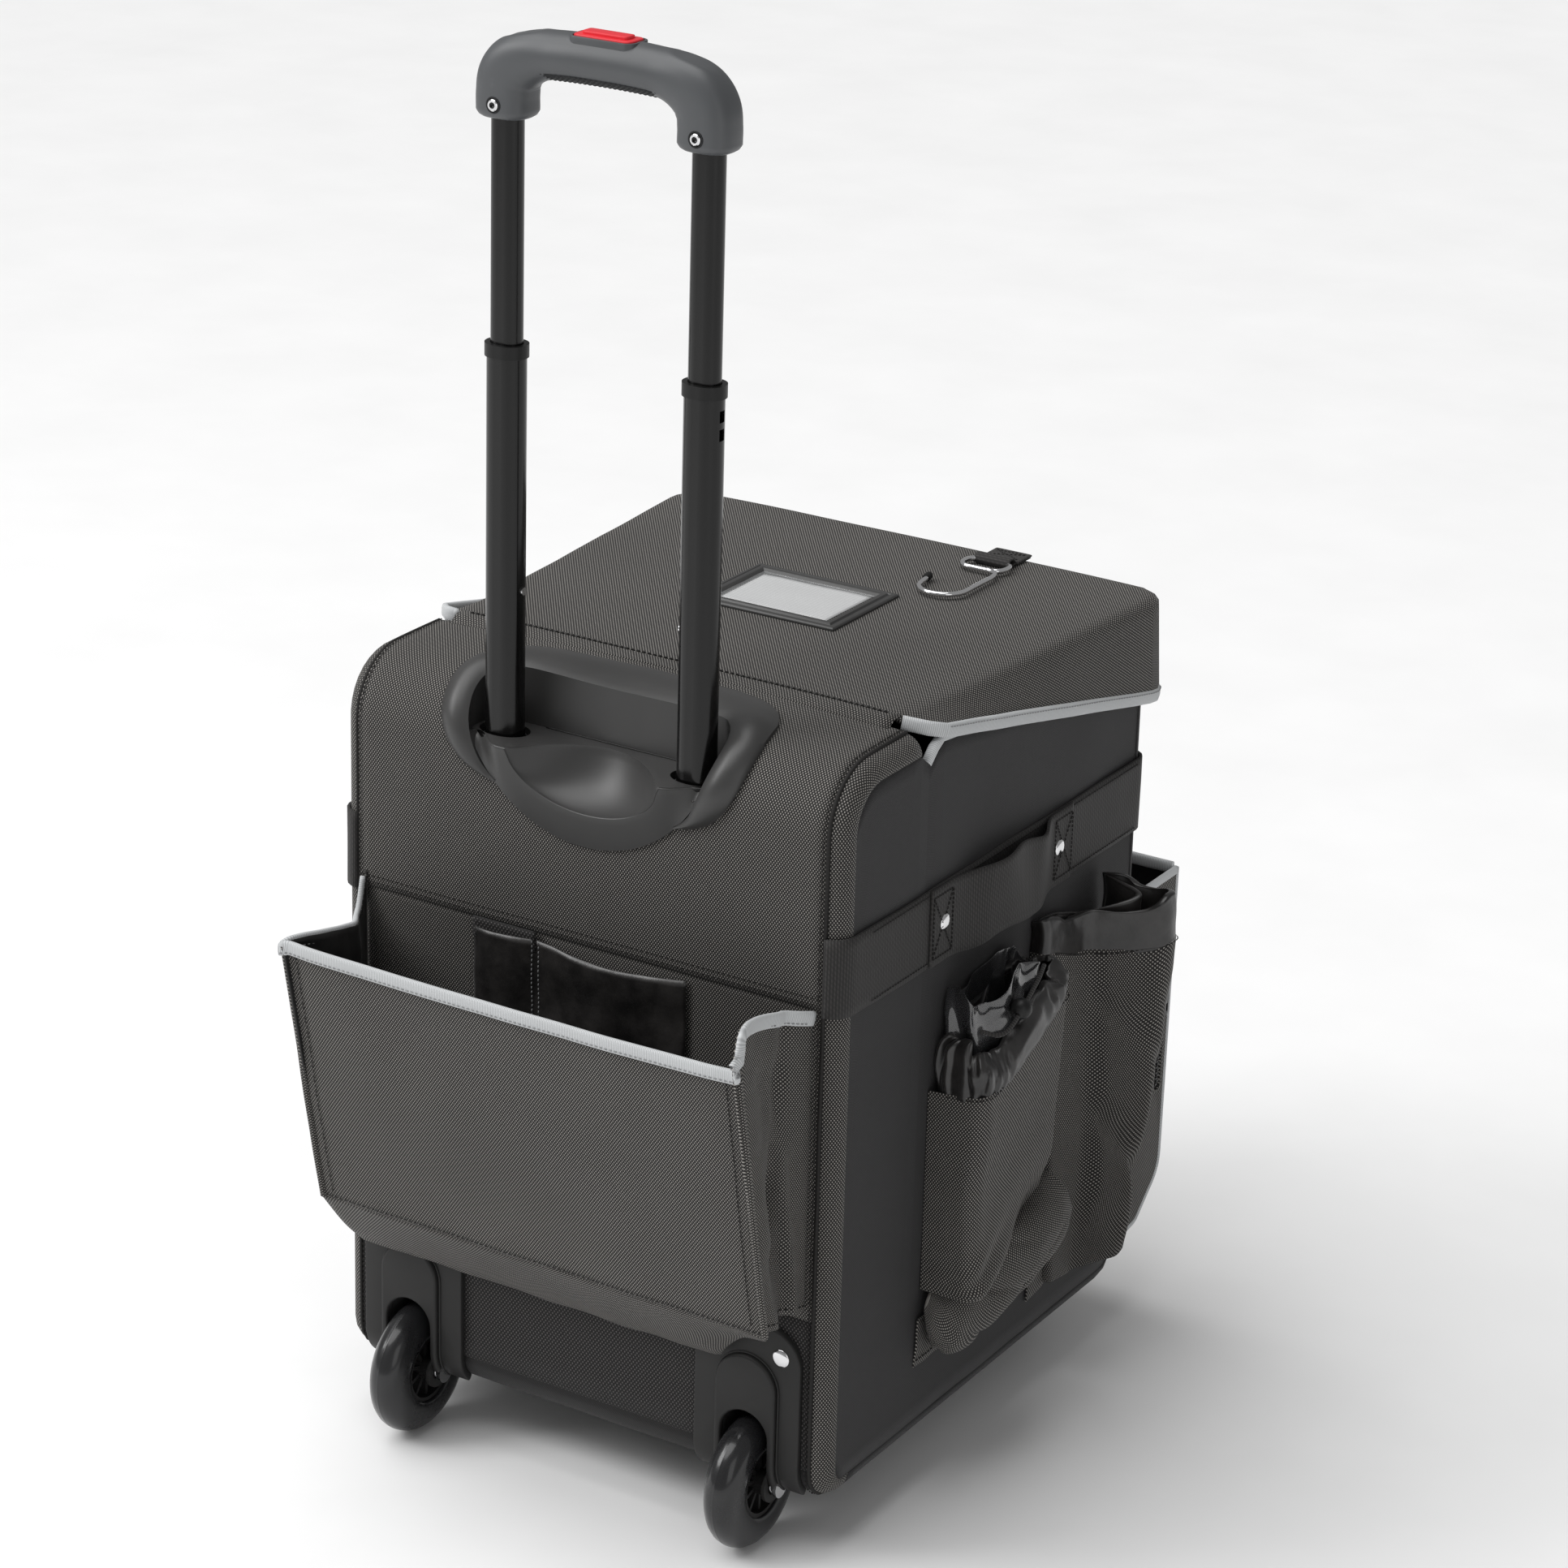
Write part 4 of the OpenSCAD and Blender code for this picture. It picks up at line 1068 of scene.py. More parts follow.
def make_hook():
    z = (span("lid_hook")[0].z + span("lid_hook")[1].z) / 2
    wire = 1.75
    left, right, rear, front = 54.5, 85.5, 347, 366
    loop = Outline([(left, rear, 8), (right, rear, 8), (right, front, 8), (left, front, 8)], 8, closed=True)
    ring = [(p.x, p.y, z) for p in spread(loop.points, 64)[:-1]]
    tongue = curve([(right - 10, rear + 0.5, z + 0.4), (right - 3, rear - 2, z), (right, rear - 9, z),
                    (right, 322, z), (right, 304, z)], 18)
    bow = [(69.5 + 16 * math.cos(math.radians(a)), 303 + 16 * math.sin(math.radians(a)), z)
           for a in range(0, -181, -9)]
    tip = [(52.6, 308, z), (51.4, 313, z)]
    stem = sweep("stem", curve([*tongue[::3], *bow[1::2], *tip], 90), ring_section(wire, wire, 12), CHROME)
    hoop = sweep("hoop", ring, ring_section(wire, wire, 12), CHROME, closed=True)
    fit(join("hook_wire", [hoop, stem]), "hook", "chrome", "lid_hook")
    cap = sweep("hook_cap", curve([(51.7, 311, z), (51.0, 315, z), (50.6, 318.4, z)], 10),
                lambda t: ring_section(2.6 - 0.9 * smooth((t - 0.7) / 0.3),
                                       2.6 - 0.9 * smooth((t - 0.7) / 0.3), 14), FOOT)
    fit(cap, "hook", "moulded_plastic", "hook_tip")

    low, high = span("hook_strap")
    base = low.z
    fold = Outline([(high.y + 2, base + 0.9), (376, base + 1.0, 6), (368.5, z + 3.3, 4),
                    (362.6, z + 1.0, 2.5), (364, z - 2.3, 1.5), (374, base + 2.4)], 6)
    strap_x = 70
    path = [(strap_x, p.x, p.y) for p in spread(fold.points, 46)]
    strap = sweep("strap", path, ring_section(13.2, 0.85, 16, 6), WEBBING, across=[(1, 0, 0)] * 47)
    patch = sweep("patch", [(strap_x, y, base + 1.9) for y in steps(14, 377, high.y + 3)],
                  ring_section(13.5, 0.8, 16, 6), WEBBING, across=[(1, 0, 0)] * 15)
    box = [stitches("box", [(x0, y0, base + 2.8), (x1, y1, base + 2.8)], DARK_THREAD, (0, 0, 1), 2.6, 2.0,
                    0.3) for x0, y0, x1, y1 in ((59, 379, 81, 379), (59, 390, 81, 390), (59, 379, 81, 390),
                                                (81, 379, 59, 390))]
    fit(join("hook_webbing", [strap, patch, *box]), "lid", "webbing", "hook_strap")


# ---- the handle's bezel and recess ----

# Right half of the bezel as (x, height) on its outer and inner edge, from the top middle down; heights run on
# over the rounded rear edge as length along it.
BEZEL_OUTER = [(0, 574), (45, 573), (75, 570.5), (94, 562.5), (104, 549), (109, 533), (110, 515), (107, 497),
               (100, 482), (89, 470), (76, 464), (66, 462)]
BEZEL_INNER = [(0, 537.5), (42, 538), (70, 536.5), (81, 532), (87, 524), (88.5, 514), (87, 503), (84, 493),
               (80, 483), (75, 473), (69, 466.5), (64, 463)]
CUP_FLOOR = 490
# Centre height and radius of the cup's round lower lip.
LIP_Z = 526
LIP_R = 91
CUP_WALL_Y = 31
TUBE_X = 69
TUBE_Y = 14


def make_bezel():
    count = 64
    outer = curve([(*p, 0) for p in BEZEL_OUTER], count)
    inner = curve([(*p, 0) for p in BEZEL_INNER], count)
    halves = [(o, i, n / count) for n, (o, i) in enumerate(zip(outer, inner))]
    stations = [(Vector((-o.x, o.y)), Vector((-i.x, i.y)), t) for o, i, t in reversed(halves[1:])]
    stations += [(o.xy, i.xy, t) for o, i, t in halves]
    rings = []
    for edge, hole, t in stations:
        hump = lerp(7.0, 9.0, smooth(t / 0.5)) * (1 - 0.62 * smooth((t - 0.72) / 0.28))
        ring = [Vector(skin(edge.x, rear_s(edge.y), -1.5))]
        for k in steps(12):
            spot = edge.lerp(hole, k)
            lift = 0.6 + hump * math.sin(math.pi * (0.08 + 0.75 * k)) ** 0.8
            ring.append(Vector(skin(spot.x, rear_s(spot.y), lift)))
        brim = ring[-1]
        foot = Vector((brim.x, min(brim.y, CUP_WALL_Y), CUP_FLOOR - 1.5))
        if brim.z < CUP_FLOOR + 2:
            foot = Vector((brim.x, brim.y + 7, brim.z))
        away = Vector((edge.x - hole.x, 0, 0)) * 0.1
        ring += [brim.lerp(foot, 0.08), brim.lerp(foot, 0.5), foot, foot + away,
                 Vector(skin(hole.x * 0.8 + edge.x * 0.2, rear_s(lerp(hole.y, edge.y, 0.2)), -2.5))]
        rings.append(ring)
    fit(loft("bezel_rim", rings, RIM_PLASTIC, 48), "case", "moulded_plastic", "handle_bezel")

    rings = []
    for x in steps(72, -88.5, 88.5):
        low = min(LIP_Z - math.sqrt(max(LIP_R ** 2 - x * x, 0)), CUP_FLOOR - 2.5)
        top_y = -12 + 16 * smooth((abs(x) - 58) / 24)
        across = (x - 3) / 54
        bowl = math.sqrt(max(1 - across * across, 0))
        brim = Vector((top_y, CUP_FLOOR - 1))
        toe = Vector((-2.5, low))
        near = toe.lerp(brim, (CUP_FLOOR - 1 - 31.5 * bowl - low) / max(CUP_FLOOR - 1 - low, 1))
        if bowl < 0.05 or near.y < low:
            near = brim.copy()
        far = Vector((top_y + 1.2 + 35 * bowl ** 2, CUP_FLOOR))
        deep = Vector((lerp(near.x, far.x, 0.62), lerp(near.y, far.y, 0.06)))
        shape = [Vector((3.5, low)), Vector((-1.4, low - 0.2))]
        shape += [toe.lerp(near, k) for k in steps(9)][:-1]
        shape += [near + Vector((0.25, -0.25)), near + Vector((0.55, 0.15))]
        shape += [near * (1 - k) ** 2 + deep * 2 * k * (1 - k) + far * k * k for k in steps(14, 0.03, 0.97)]
        shape += [far + Vector((-0.5, -0.05)), far]
        shape += [far.lerp(Vector((CUP_WALL_Y + 3, CUP_FLOOR)), k) for k in steps(5)][1:]
        shape += [Vector((CUP_WALL_Y + 3, CUP_FLOOR - 5)), Vector((8, min(low, CUP_FLOOR - 5)))]
        rings.append([Vector((x, *p)) for p in shape])
    cup = loft("bezel_cup", rings, RIM_PLASTIC, 32)
    holes = [prism("hole", [tuple(p) for p in ring_section(17, 12, 40)], lambda a, b, c,
                   s=side: (s * TUBE_X + a, TUBE_Y + b, c), CUP_FLOOR - 90, CUP_FLOOR + 12, PLASTIC)
             for side in (1, -1)]
    carve(cup, *holes)
    cup.data.set_sharp_from_angle(angle=math.radians(32))
    sleeves = [loft("sleeve",
                    [[(side * TUBE_X + a, TUBE_Y + b, z) for a, b in ring_section(r, r - 5, 40)] for z,
                     r in ((CUP_FLOOR - 0.2, 17.2), (CUP_FLOOR - 24, 17.2), (CUP_FLOOR - 24, 19),
                           (CUP_FLOOR - 0.6, 19))], GLOSS, closed=True) for side in (1, -1)]
    rule = sweep("rule", [(x, CUP_WALL_Y - 0.3, CUP_FLOOR + 0.3) for x in steps(30, -50, 50)],
                 ring_section(0.55, 0.55, 8), HUB)
    fit(join("bezel_cup_moulding", [cup, *sleeves, rule]), "case", "moulded_plastic", "bezel_cup")


# ---- the pull handle ----

BAR_Z = 909.4
GRIP_LOW = 868.5
SCREW_Z = (span("grip_screws")[0].z + span("grip_screws")[1].z) / 2


def over_tubes(a, b, c):
    """Places an outline drawn in plan on the line between the two tubes."""
    return a, TUBE_Y + b, c


def make_grip():
    half = [(TUBE_X, TUBE_Y, GRIP_LOW), (TUBE_X, TUBE_Y, 874), (TUBE_X, TUBE_Y, 882), (67.5, TUBE_Y, 892),
            (60, TUBE_Y, 901), (45, TUBE_Y, 907), (22, TUBE_Y, BAR_Z - 0.3), (0, TUBE_Y, BAR_Z)]
    line = [*half, *[(-x, y, z) for x, y, z in reversed(half[:-1])]]
    path = curve(line, 150)
    across = []
    for i in range(len(path)):
        along = path[min(i + 1, len(path) - 1)] - path[max(i - 1, 0)]
        across.append(Vector((along.z, 0, -along.x)))

    def section(t):
        end = min(t, 1 - t)
        leg = 1 - smooth((end - 0.13) / 0.2)
        lip = 0.8 + 0.2 * math.sqrt(min(end / 0.02, 1))
        return ring_section(lerp(14.2, 18, leg) * lip, lerp(14.2, 15, leg) * lip, 40, lerp(2.0, 2.8, leg))
    body = sweep("grip_shell", path, section, GRIP, across)

    def groove(p):
        side = Vector((abs(p.x) - 58, p.y - TUBE_Y))
        lens = smooth(1 - (side.x / 17) ** 2 - (side.y / 8.5) ** 2)
        return p - Vector((math.copysign(0.45, p.x), 0, 1.0)) * (1.5 * lens if p.z > 893 else 0)
    warp(body, groove)
    # The well that the release button sinks into.
    carve(body, prism("well", round_rect(20.6, 9.1, 4.6, arc_steps=8), over_tubes, 904, 932, GRIP))
    body.data.set_sharp_from_angle(angle=math.radians(40))
    fit(body, "handle_upper", "grip_plastic", "grip_body")

    radius = 14.2

    def pad_point(x, turn):
        dent = 0.55 * max(math.cos(math.tau * x / 3.4) * math.cos(math.tau * turn * radius / 3.4), 0)
        reach = radius + 0.5 - 0.45 * smooth((abs(x) - 43) / 3) + dent
        return x, TUBE_Y - reach * math.sin(turn), BAR_Z - reach * math.cos(turn) - 0.3 * (x / 46) ** 2 * 4
    pad = sheet("grip_pad", pad_point, steps(150, -46, 46), steps(44, -0.85, 0.85), DARK_GRIP, 1.2)
    fit(pad, "handle_upper", "grip_plastic")

    rim = prism("button_rim", round_rect(22.4, 10.4, 6, arc_steps=8), over_tubes, 917, 923.4, GRIP,
                holes=[round_rect(20.6, 9.1, 4.6, arc_steps=8)], bevel=0.5)
    fit(rim, "handle_upper", "grip_plastic")
    screws = []
    for side in (1, -1):
        shapes = [lathe("ring", [(0, 5.0), (0.25, 4.8), (0.25, 4.1), (-1.5, 4.0), (-1.5, 5.0)], (0, 0, 0),
                        DARK_GRIP, 40, 40, closed=True),
                  lathe("head", [(-1, 3.6), (0.7, 3.5), (1.2, 3.0), (1.2, 1.9), (-0.6, 1.8), (-0.6, 0.02),
                                 (-1, 0.02)], (0, 0, 0), CHROME, 36, 35, closed=True),
                  lathe("hollow", [(0.15, 4.0), (0.15, 0.02), (-1, 0.02), (-1, 4.0)], (0, 0, 0), GLOSS, 36,
                        closed=True)]
        for shape in shapes:
            warp(shape, lambda p, s=side: Vector((s * TUBE_X + p.y, TUBE_Y - 15 - p.x, SCREW_Z + p.z)))
        screws += shapes
    fit(join("grip_screw_heads", screws), "handle_upper", "chrome", "grip_screws")

    low, high = span("release_button")
    base = prism("base", round_rect(19.9, 8.5, 4.2, arc_steps=8), over_tubes, low.z, high.z - 1.8, RED,
                 bevel=0.9, segments=3)
    carve(base, prism("hollow", round_rect(17.5, 6.2, 3), over_tubes, low.z - 1, low.z + 5.2, RED))
    top = prism("top", round_rect(15.5, 4.9, 2.2, arc_steps=6), over_tubes, high.z - 2.6, high.z, RED,
                bevel=0.7, segments=3)
    fit(join("red_button", [base, top]), "release_button", "red_button", "release_button")


# ---- wheels, their housings, rivets and feet ----

WELL_HALF = 16.6
FENDER_HALF = 21.5
FENDER_ARCH_Z = 111.5
WELL_TOP = 95


def make_wheels():
    half = [(10.6, 22.5), (11.6, 23.6), (12.0, 26.5), (12.0, 30.5), (11.5, 34.5), (10.2, 38), (7.8, 41),
            (4.6, 43.1), (1.6, 43.85), (0.5, 43.9), (0.2, 44.0)]
    profile = half + [(-x, r) for x, r in reversed(half)]
    for side, name in SIDES:
        tyre = lathe(f"tyre_{name}_rubber", profile, (side * WHEEL.x, WHEEL.y, WHEEL.z), TYRE, 96,
                     closed=True)
        fit(tyre, f"wheel_{name}", "tyre_rubber", f"tyre_{name}")


def arch(half, centre_z, low, count=18):
    """(x, z) round an arch from its left foot over the top to its right foot."""
    over = [(-half * math.cos(a), centre_z + half * math.sin(a)) for a in steps(count, 0, math.pi)]
    return [(-half, low), *over, (half, low)]


def make_housings():
    low, high = span("wheel_housing_right")
    plate_low, plate_high = 42.5, 155
    left, right = low.x - WHEEL.x, high.x - WHEEL.x

    def under(p):
        """Bends what hangs below the straight part of the rear face round the case's lower edge."""
        drop = CASE_BASE + EDGE_R - p.z
        if drop <= 0 or p.y > 4:
            return p
        reach = EDGE_R - p.y
        turn = drop / EDGE_R
        return Vector((p.x, EDGE_R - reach * math.cos(turn), CASE_BASE + EDGE_R - reach * math.sin(turn)))

    for side, name in SIDES:
        def put(a, b, c, side=side):
            return side * (WHEEL.x + a), c, b
        notch = arch(WELL_HALF, WELL_TOP - WELL_HALF, plate_low)
        frame_line = Outline([(left, plate_low), (left, plate_high, 12), (right, plate_high, 24),
                              (right, plate_low)], 12)
        plate = prism("plate", [*map(tuple, frame_line.points), *reversed(notch)], put, -4.6, 0.4, PLASTIC,
                      bevel=1.1, segments=3)
        hood = prism("hood", [*arch(FENDER_HALF, FENDER_ARCH_Z, plate_low), *reversed(notch)], put, -8.6,
                     -3.6, PLASTIC, bevel=1.8, segments=4)
        line = prism("line", [*arch(FENDER_HALF + 1.6, FENDER_ARCH_Z, plate_low),
                              *reversed(arch(FENDER_HALF + 0.2, FENDER_ARCH_Z, plate_low))], put, -5.6,
                     -3.6, PLASTIC, bevel=0.5)
        for part in (plate, hood, line):
            cut_level(part, (45, 48, 51, 54, 57, 60, 62.6))
            warp(part, under)
            part.data.set_sharp_from_angle(angle=math.radians(38))
        walls = prism("walls", [*arch(WELL_HALF + 3, WELL_TOP - WELL_HALF, CASE_BASE + 1),
                                *reversed(arch(WELL_HALF, WELL_TOP - WELL_HALF, CASE_BASE + 1))], put, -1,
                      58, PLASTIC)
        rear = prism("rear", arch(WELL_HALF + 2, WELL_TOP - WELL_HALF, CASE_BASE + 1), put, 55, 58, PLASTIC)
        bosses = [lathe("boss", [(0, 11), (2.2, 11), (3.0, 10.2), (3.0, 4.4), (0, 4.4)], (0, 0, 0), PLASTIC,
                        36, 35, closed=True) for _ in range(2)]
        for hand, boss in zip((1, -1), bosses):
            warp(boss, lambda p, h=hand,
                 s=side: Vector((s * WHEEL.x + h * (WELL_HALF - p.x), WHEEL.y + p.y, WHEEL.z + p.z)))
        fit(join(f"housing_{name}", [plate, hood, line, walls, rear, *bosses]), "case", "moulded_plastic",
            f"wheel_housing_{name}")


def dome(spot, out, radius=6.0, height=2.4):
    """A rivet's polished head on a surface facing out."""
    profile = [(0.0, radius), (0.5, radius)]
    profile += [(0.5 + (height - 0.5) * math.sin(a), radius * math.cos(a) + 0.01)
                for a in steps(8, 0.15, math.pi / 2)]
    head = lathe("head", profile, (0, 0, 0), CHROME, 36, 60)
    turn = Vector((1, 0, 0)).rotation_difference(Vector(out))
    return warp(head, lambda p: Vector(spot) + turn @ p)


def make_rivets():
    outer = span("rivets")[1].x
    heads = [dome((side * 150, -4.4, 137), (0, -1, 0)) for side in (1, -1)]
    heads += [dome((side * (outer - 2.2), y, 392), (side, 0, 0), 5.6) for side in (1, -1) for y in (113, 257)]
    fit(join("rivet_heads", heads), "case", "chrome", "rivets")


def dress_nodes():
    """Finishes for the CAD parts that stay as they are."""
    finishes = {GLOSS: ["middle_tubes", "upper_tubes"], COLLAR: ["middle_collars"],
                STEEL: ["fixed_tubes", "tube_bracket"], CHROME: ["wheel_axles", "lock_pins"],
                SPRING: ["button_spring", "push_rods"], HUB: ["hub_right", "hub_left"],
                FOOT: ["front_feet"], LINING: ["inner_liner"]}
    for material, nodes in finishes.items():
        for name in nodes:
            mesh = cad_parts[name].data
            mesh.materials.clear()
            mesh.materials.append(material)


# ---- webbing and carry handles ----

STRAP_LOW = span("side_straps")[0].z
STRAP_HIGH = span("side_straps")[1].z
STRAP_X = SIDE_X + 2.6


def crumple(point, size, depth):
    """A small even hollow or swelling at a place."""
    return depth * noise.noise(Vector(point) / size)


def make_straps():
    wrap = Outline([(BELT_X + 0.5, -2.6), (STRAP_X, -2.6, 14), (STRAP_X, CASE_D + 2.2, 13),
                    (STRAP_X - 40, CASE_D + 2.2)], 10)
    for side, name in SIDES:
        def band(u, z, side=side):
            spot, _ = wrap.at(u)
            return side * (spot.x + crumple((u, z, side * 9), 40, 0.5)), spot.y, z + crumple((u, 3, side),
                                                                                             60, 1.2)
        lengths = steps(90, 0, wrap.length)
        strap = sheet("strap", band, lengths[::side], steps(8, STRAP_LOW, STRAP_HIGH), WEBBING, 1.8)
        low, high = span(f"carry_handle_{name}")
        start, end = low.y - 1, high.y + 1

        def grip(u, v, side=side):
            y = lerp(start, end, u)
            free = smooth((u - 0.13) / 0.2) * smooth((0.87 - u) / 0.2)
            bow = 11.0 * math.sin(math.pi * u) ** 0.8 * free
            ripple = 2.2 * free * math.sin(math.tau * u * 2.6 + 1.4 * v)
            reach = STRAP_X + 2.2 + bow + ripple * (0.35 + v * 0.8)
            fall = free * (3.2 * math.sin(math.tau * u * 1.5 + 0.6) + 2.0 * (v - 0.5)
                           * math.sin(math.tau * u * 3.1))
            return side * reach, y, lerp(STRAP_LOW, STRAP_HIGH, v) - fall * 0.8
        handle = sheet("handle", grip, steps(100)[::side], steps(12), WEBBING, 1.9)
        lines = []
        for y0, y1 in ((low.y, 121), (high.y - 22, high.y)):
            inset = 5
            top, foot = STRAP_HIGH - inset, STRAP_LOW + inset
            for a, b in (((y0, foot), (y0, top)), ((y1, foot), (y1, top)), ((y0, foot), (y1, top)),
                         ((y0, top), (y1, foot)), ((y0, foot), (y1, foot)), ((y0, top), (y1, top))):
                ends = [(side * (STRAP_X + 2.5), *spot) for spot in (a, b)]
                lines.append(stitches("line", ends, DARK_THREAD, (side, 0, 0), 2.8, 2.2, 0.45))
        edge_lines = [stitches("edge", [(side * (STRAP_X + 0.3), y, z) for y in (30, CASE_D - 14)],
                               DARK_THREAD, (side, 0, 0), 3.0, 2.2, 0.4)
                      for z in (STRAP_LOW + 3, STRAP_HIGH - 3)]
        fit(join(f"strap_{name}", [strap, *edge_lines]), "case", "webbing",
            *(["side_straps"] if side == 1 else []))
        fit(join(f"carry_handle_{name}_webbing", [handle, *lines]), "case", "webbing", f"carry_handle_{name}")


# ---- the folding rear pocket ----

FRONT_LOW = Vector((span("rear_pocket_front")[1].y, span("rear_pocket_front")[0].z))
FRONT_TOP = Vector((span("rear_pocket_front")[0].y + 2, span("rear_pocket_front")[1].z))
POCKET_X = span("rear_pocket_front")[1].x
FOLD_LOW = Vector((-11.5, 129))


def pocket_front(x, v, out=0.0):
    """A point of the rear pocket's front face, v running from its lower edge to its lip."""
    belly = 1.6 * math.sin(math.pi * v) * (1 - (x / POCKET_X) ** 4)
    sag = 1.8 * (1 - (x / POCKET_X) ** 2) * v ** 3
    pinch = -2.2 * bell(abs(x) - POCKET_X + 6, 9) * v
    y = lerp(FRONT_LOW.x, FRONT_TOP.x, v) - belly - out + crumple((x, v * 190, 4), 48, 1.1)
    return x, y - pinch * 0.5, lerp(FRONT_LOW.y, FRONT_TOP.y, v) - sag


def make_rear_pocket():
    xs = steps(60, -POCKET_X, POCKET_X)
    front = sheet("rear_pocket_face", pocket_front, xs, steps(40), CLOTH, 1.9, LINING)
    hems = [stitches("hem", [pocket_front(side * (POCKET_X - 10), v, 0.5) for v in steps(30, 0.03, 0.96)],
                     DARK_THREAD) for side in (1, -1)]
    folds = [sweep("fold", [pocket_front(side * (POCKET_X - 1.2), v, 0.4) for v in steps(30, 0.0, 0.985)],
                   ring_section(2.0, 1.6, 10), CLOTH, across=[(1, 0, 0)] * 31) for side in (1, -1)]
    lower = [stitches("lower",
                      [pocket_front(x, 0.012, 0.5) for x in steps(60, -POCKET_X + 3, POCKET_X - 3)],
                      DARK_THREAD)]
    fit(join("rear_pocket_cloth", [front, *hems, *folds, *lower]), "rear_pocket", "ballistic_fabric",
        "rear_pocket_front")

    def bottom(u, v):
        right = lerp(112, POCKET_X, smooth(v * 1.05) * 0.6 + v * 0.4)
        left = -lerp(POCKET_X - 6, POCKET_X, v)
        x = lerp(left, right, u)
        y = lerp(FOLD_LOW.x, FRONT_LOW.x, v)
        z = lerp(FOLD_LOW.y, FRONT_LOW.y, v) - 3.0 * math.sin(math.pi * v) + crumple((x, v * 50, 8), 30, 1.4)
        lift = 22 * smooth((x - 104) / 40) * (1 - v)
        return x, y, z + lift
    under = sheet("rear_pocket_floor", bottom, steps(60), steps(14), CLOTH, 1.9, LINING)
    fit(under, "rear_pocket", "ballistic_fabric", "rear_pocket_bottom")

    # Height of each gusset's upper edge along its way from the lip (0) to the case (1).
    right_top = curve([(0, 366, 0), (0.02, 377, 0), (0.1, 386.5, 0), (0.3, 385, 0), (0.62, 378, 0),
                       (1, 368, 0)], 40)
    left_top = curve([(0, 359, 0), (0.12, 362, 0), (0.4, 359, 0), (0.72, 354.5, 0), (0.88, 357, 0),
                      (0.955, 368, 0), (1, 381, 0)], 40)

    def height(line, u):
        for a, b in zip(line, line[1:]):
            if u <= b.x:
                return lerp(a.y, b.y, (u - a.x) / max(b.x - a.x, 1e-6))
        return line[-1].y

    def gusset(side, u, v):
        line = right_top if side == 1 else left_top
        top = height(line, u)
        z = lerp(lerp(FRONT_LOW.y + 3, 172, u), top, v)
        share = min((z - FRONT_LOW.y) / (FRONT_TOP.y - FRONT_LOW.y), 1.0)
        face = lerp(FRONT_LOW.x, FRONT_TOP.x - 2.5, max(share, 0))
        y = lerp(face, -1.4, u)
        depth = 13 * math.sin(math.pi * u) ** 1.3 * (0.35 + 0.65 * v)
        crease = 5.0 * bell(u - 0.62 + 0.22 * v, 0.13) * smooth((0.9 - v) / 0.5)
        crease -= 3.0 * bell(u - 0.25, 0.12) * (1 - v)
        fold = 4.0 * bell(u - 0.42 - 0.3 * v, 0.07) * smooth(v * 3)
        fold -= 2.6 * bell(u - 0.8 + 0.3 * v, 0.06) * smooth((1 - v) * 2)
        crease += fold
        soft = crumple((y, z, side * 20), 34, 4.0) + crumple((z, y, side * 31), 17, 1.6)
        deep = depth * (0.6 if side == 1 else 0.8) + crease + soft * math.sin(math.pi * u)
        return side * (POCKET_X - 1.4 - deep), y, z

    start, end = place((0, -3.5, 270)), place((0, -47, 270))
    for side, name in SIDES:
        us = steps(44)[::side]
        flap = sheet(f"pocket_gusset_{name}", lambda u, v, s=side: gusset(s, u, v), us, steps(44), CLOTH,
                     1.5, LINING)
        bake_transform(flap)
        if side == 1:
            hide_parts("rear_pocket_gussets")
        foot = stitches("gusset_foot_" + name, [gusset(side, u, 0.02) for u in steps(20)], DARK_THREAD,
                        (side, 0, 0))
        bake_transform(foot)

    lip = [Vector(pocket_front(x, 1.0)) for x in steps(50, -POCKET_X + 3, POCKET_X - 3)]
    right = [Vector(gusset(1, u, 1.0)) + Vector((1.0, 0, 0)) for u in steps(24, 0.0, 0.985)]
    left = [Vector(gusset(-1, u, 1.0)) - Vector((1.0, 0, 0)) for u in steps(24, 0.0, 0.985)]
    path = spread([*reversed(left), *lip, *right], 190)
    path = [path[0]] + [(path[i - 1] + path[i] * 2 + path[i + 1]) / 4
                        for i in range(1, len(path) - 1)] + [path[-1]]
    hang = []
    for i, spot in enumerate(path):
        along = (path[min(i + 1, len(path) - 1)] - path[max(i - 1, 0)]).normalized()
        flat = Vector((along.x, along.y, 0))
        flat = flat.normalized() if flat.length > 0.2 else Vector((0, 1, 0))
        hang.append(along.cross(Vector((flat.y, -flat.x, 0))).normalized())
    tape = sweep("pocket_tape", [p - h * math.copysign(2.6, h.z or 1) for p, h in zip(path, hang)],
                 ring_section(4.6, 1.9, 14, 3.2), BINDING, across=hang)
    seam = []
    for i in range(2, len(path) - 2):
        down = -hang[i] if hang[i].z > 0 else hang[i]
        along = (path[i + 1] - path[i - 1]).normalized()
        out = along.cross(hang[i])
        out = out if out.y < 0 or abs(out.x) > 0.7 and out.x * path[i].x > 0 else -out
        seam.append(path[i] + down * 5.2 + out * 1.9)
    line = stitches("pocket_tape_stitches", seam, PALE_THREAD, (0, -1, 0), 3.4, 2.4, 0.4)
    trim = join("rear_pocket_lip_binding", [tape, line])
    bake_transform(trim)
    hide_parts("rear_pocket_binding")


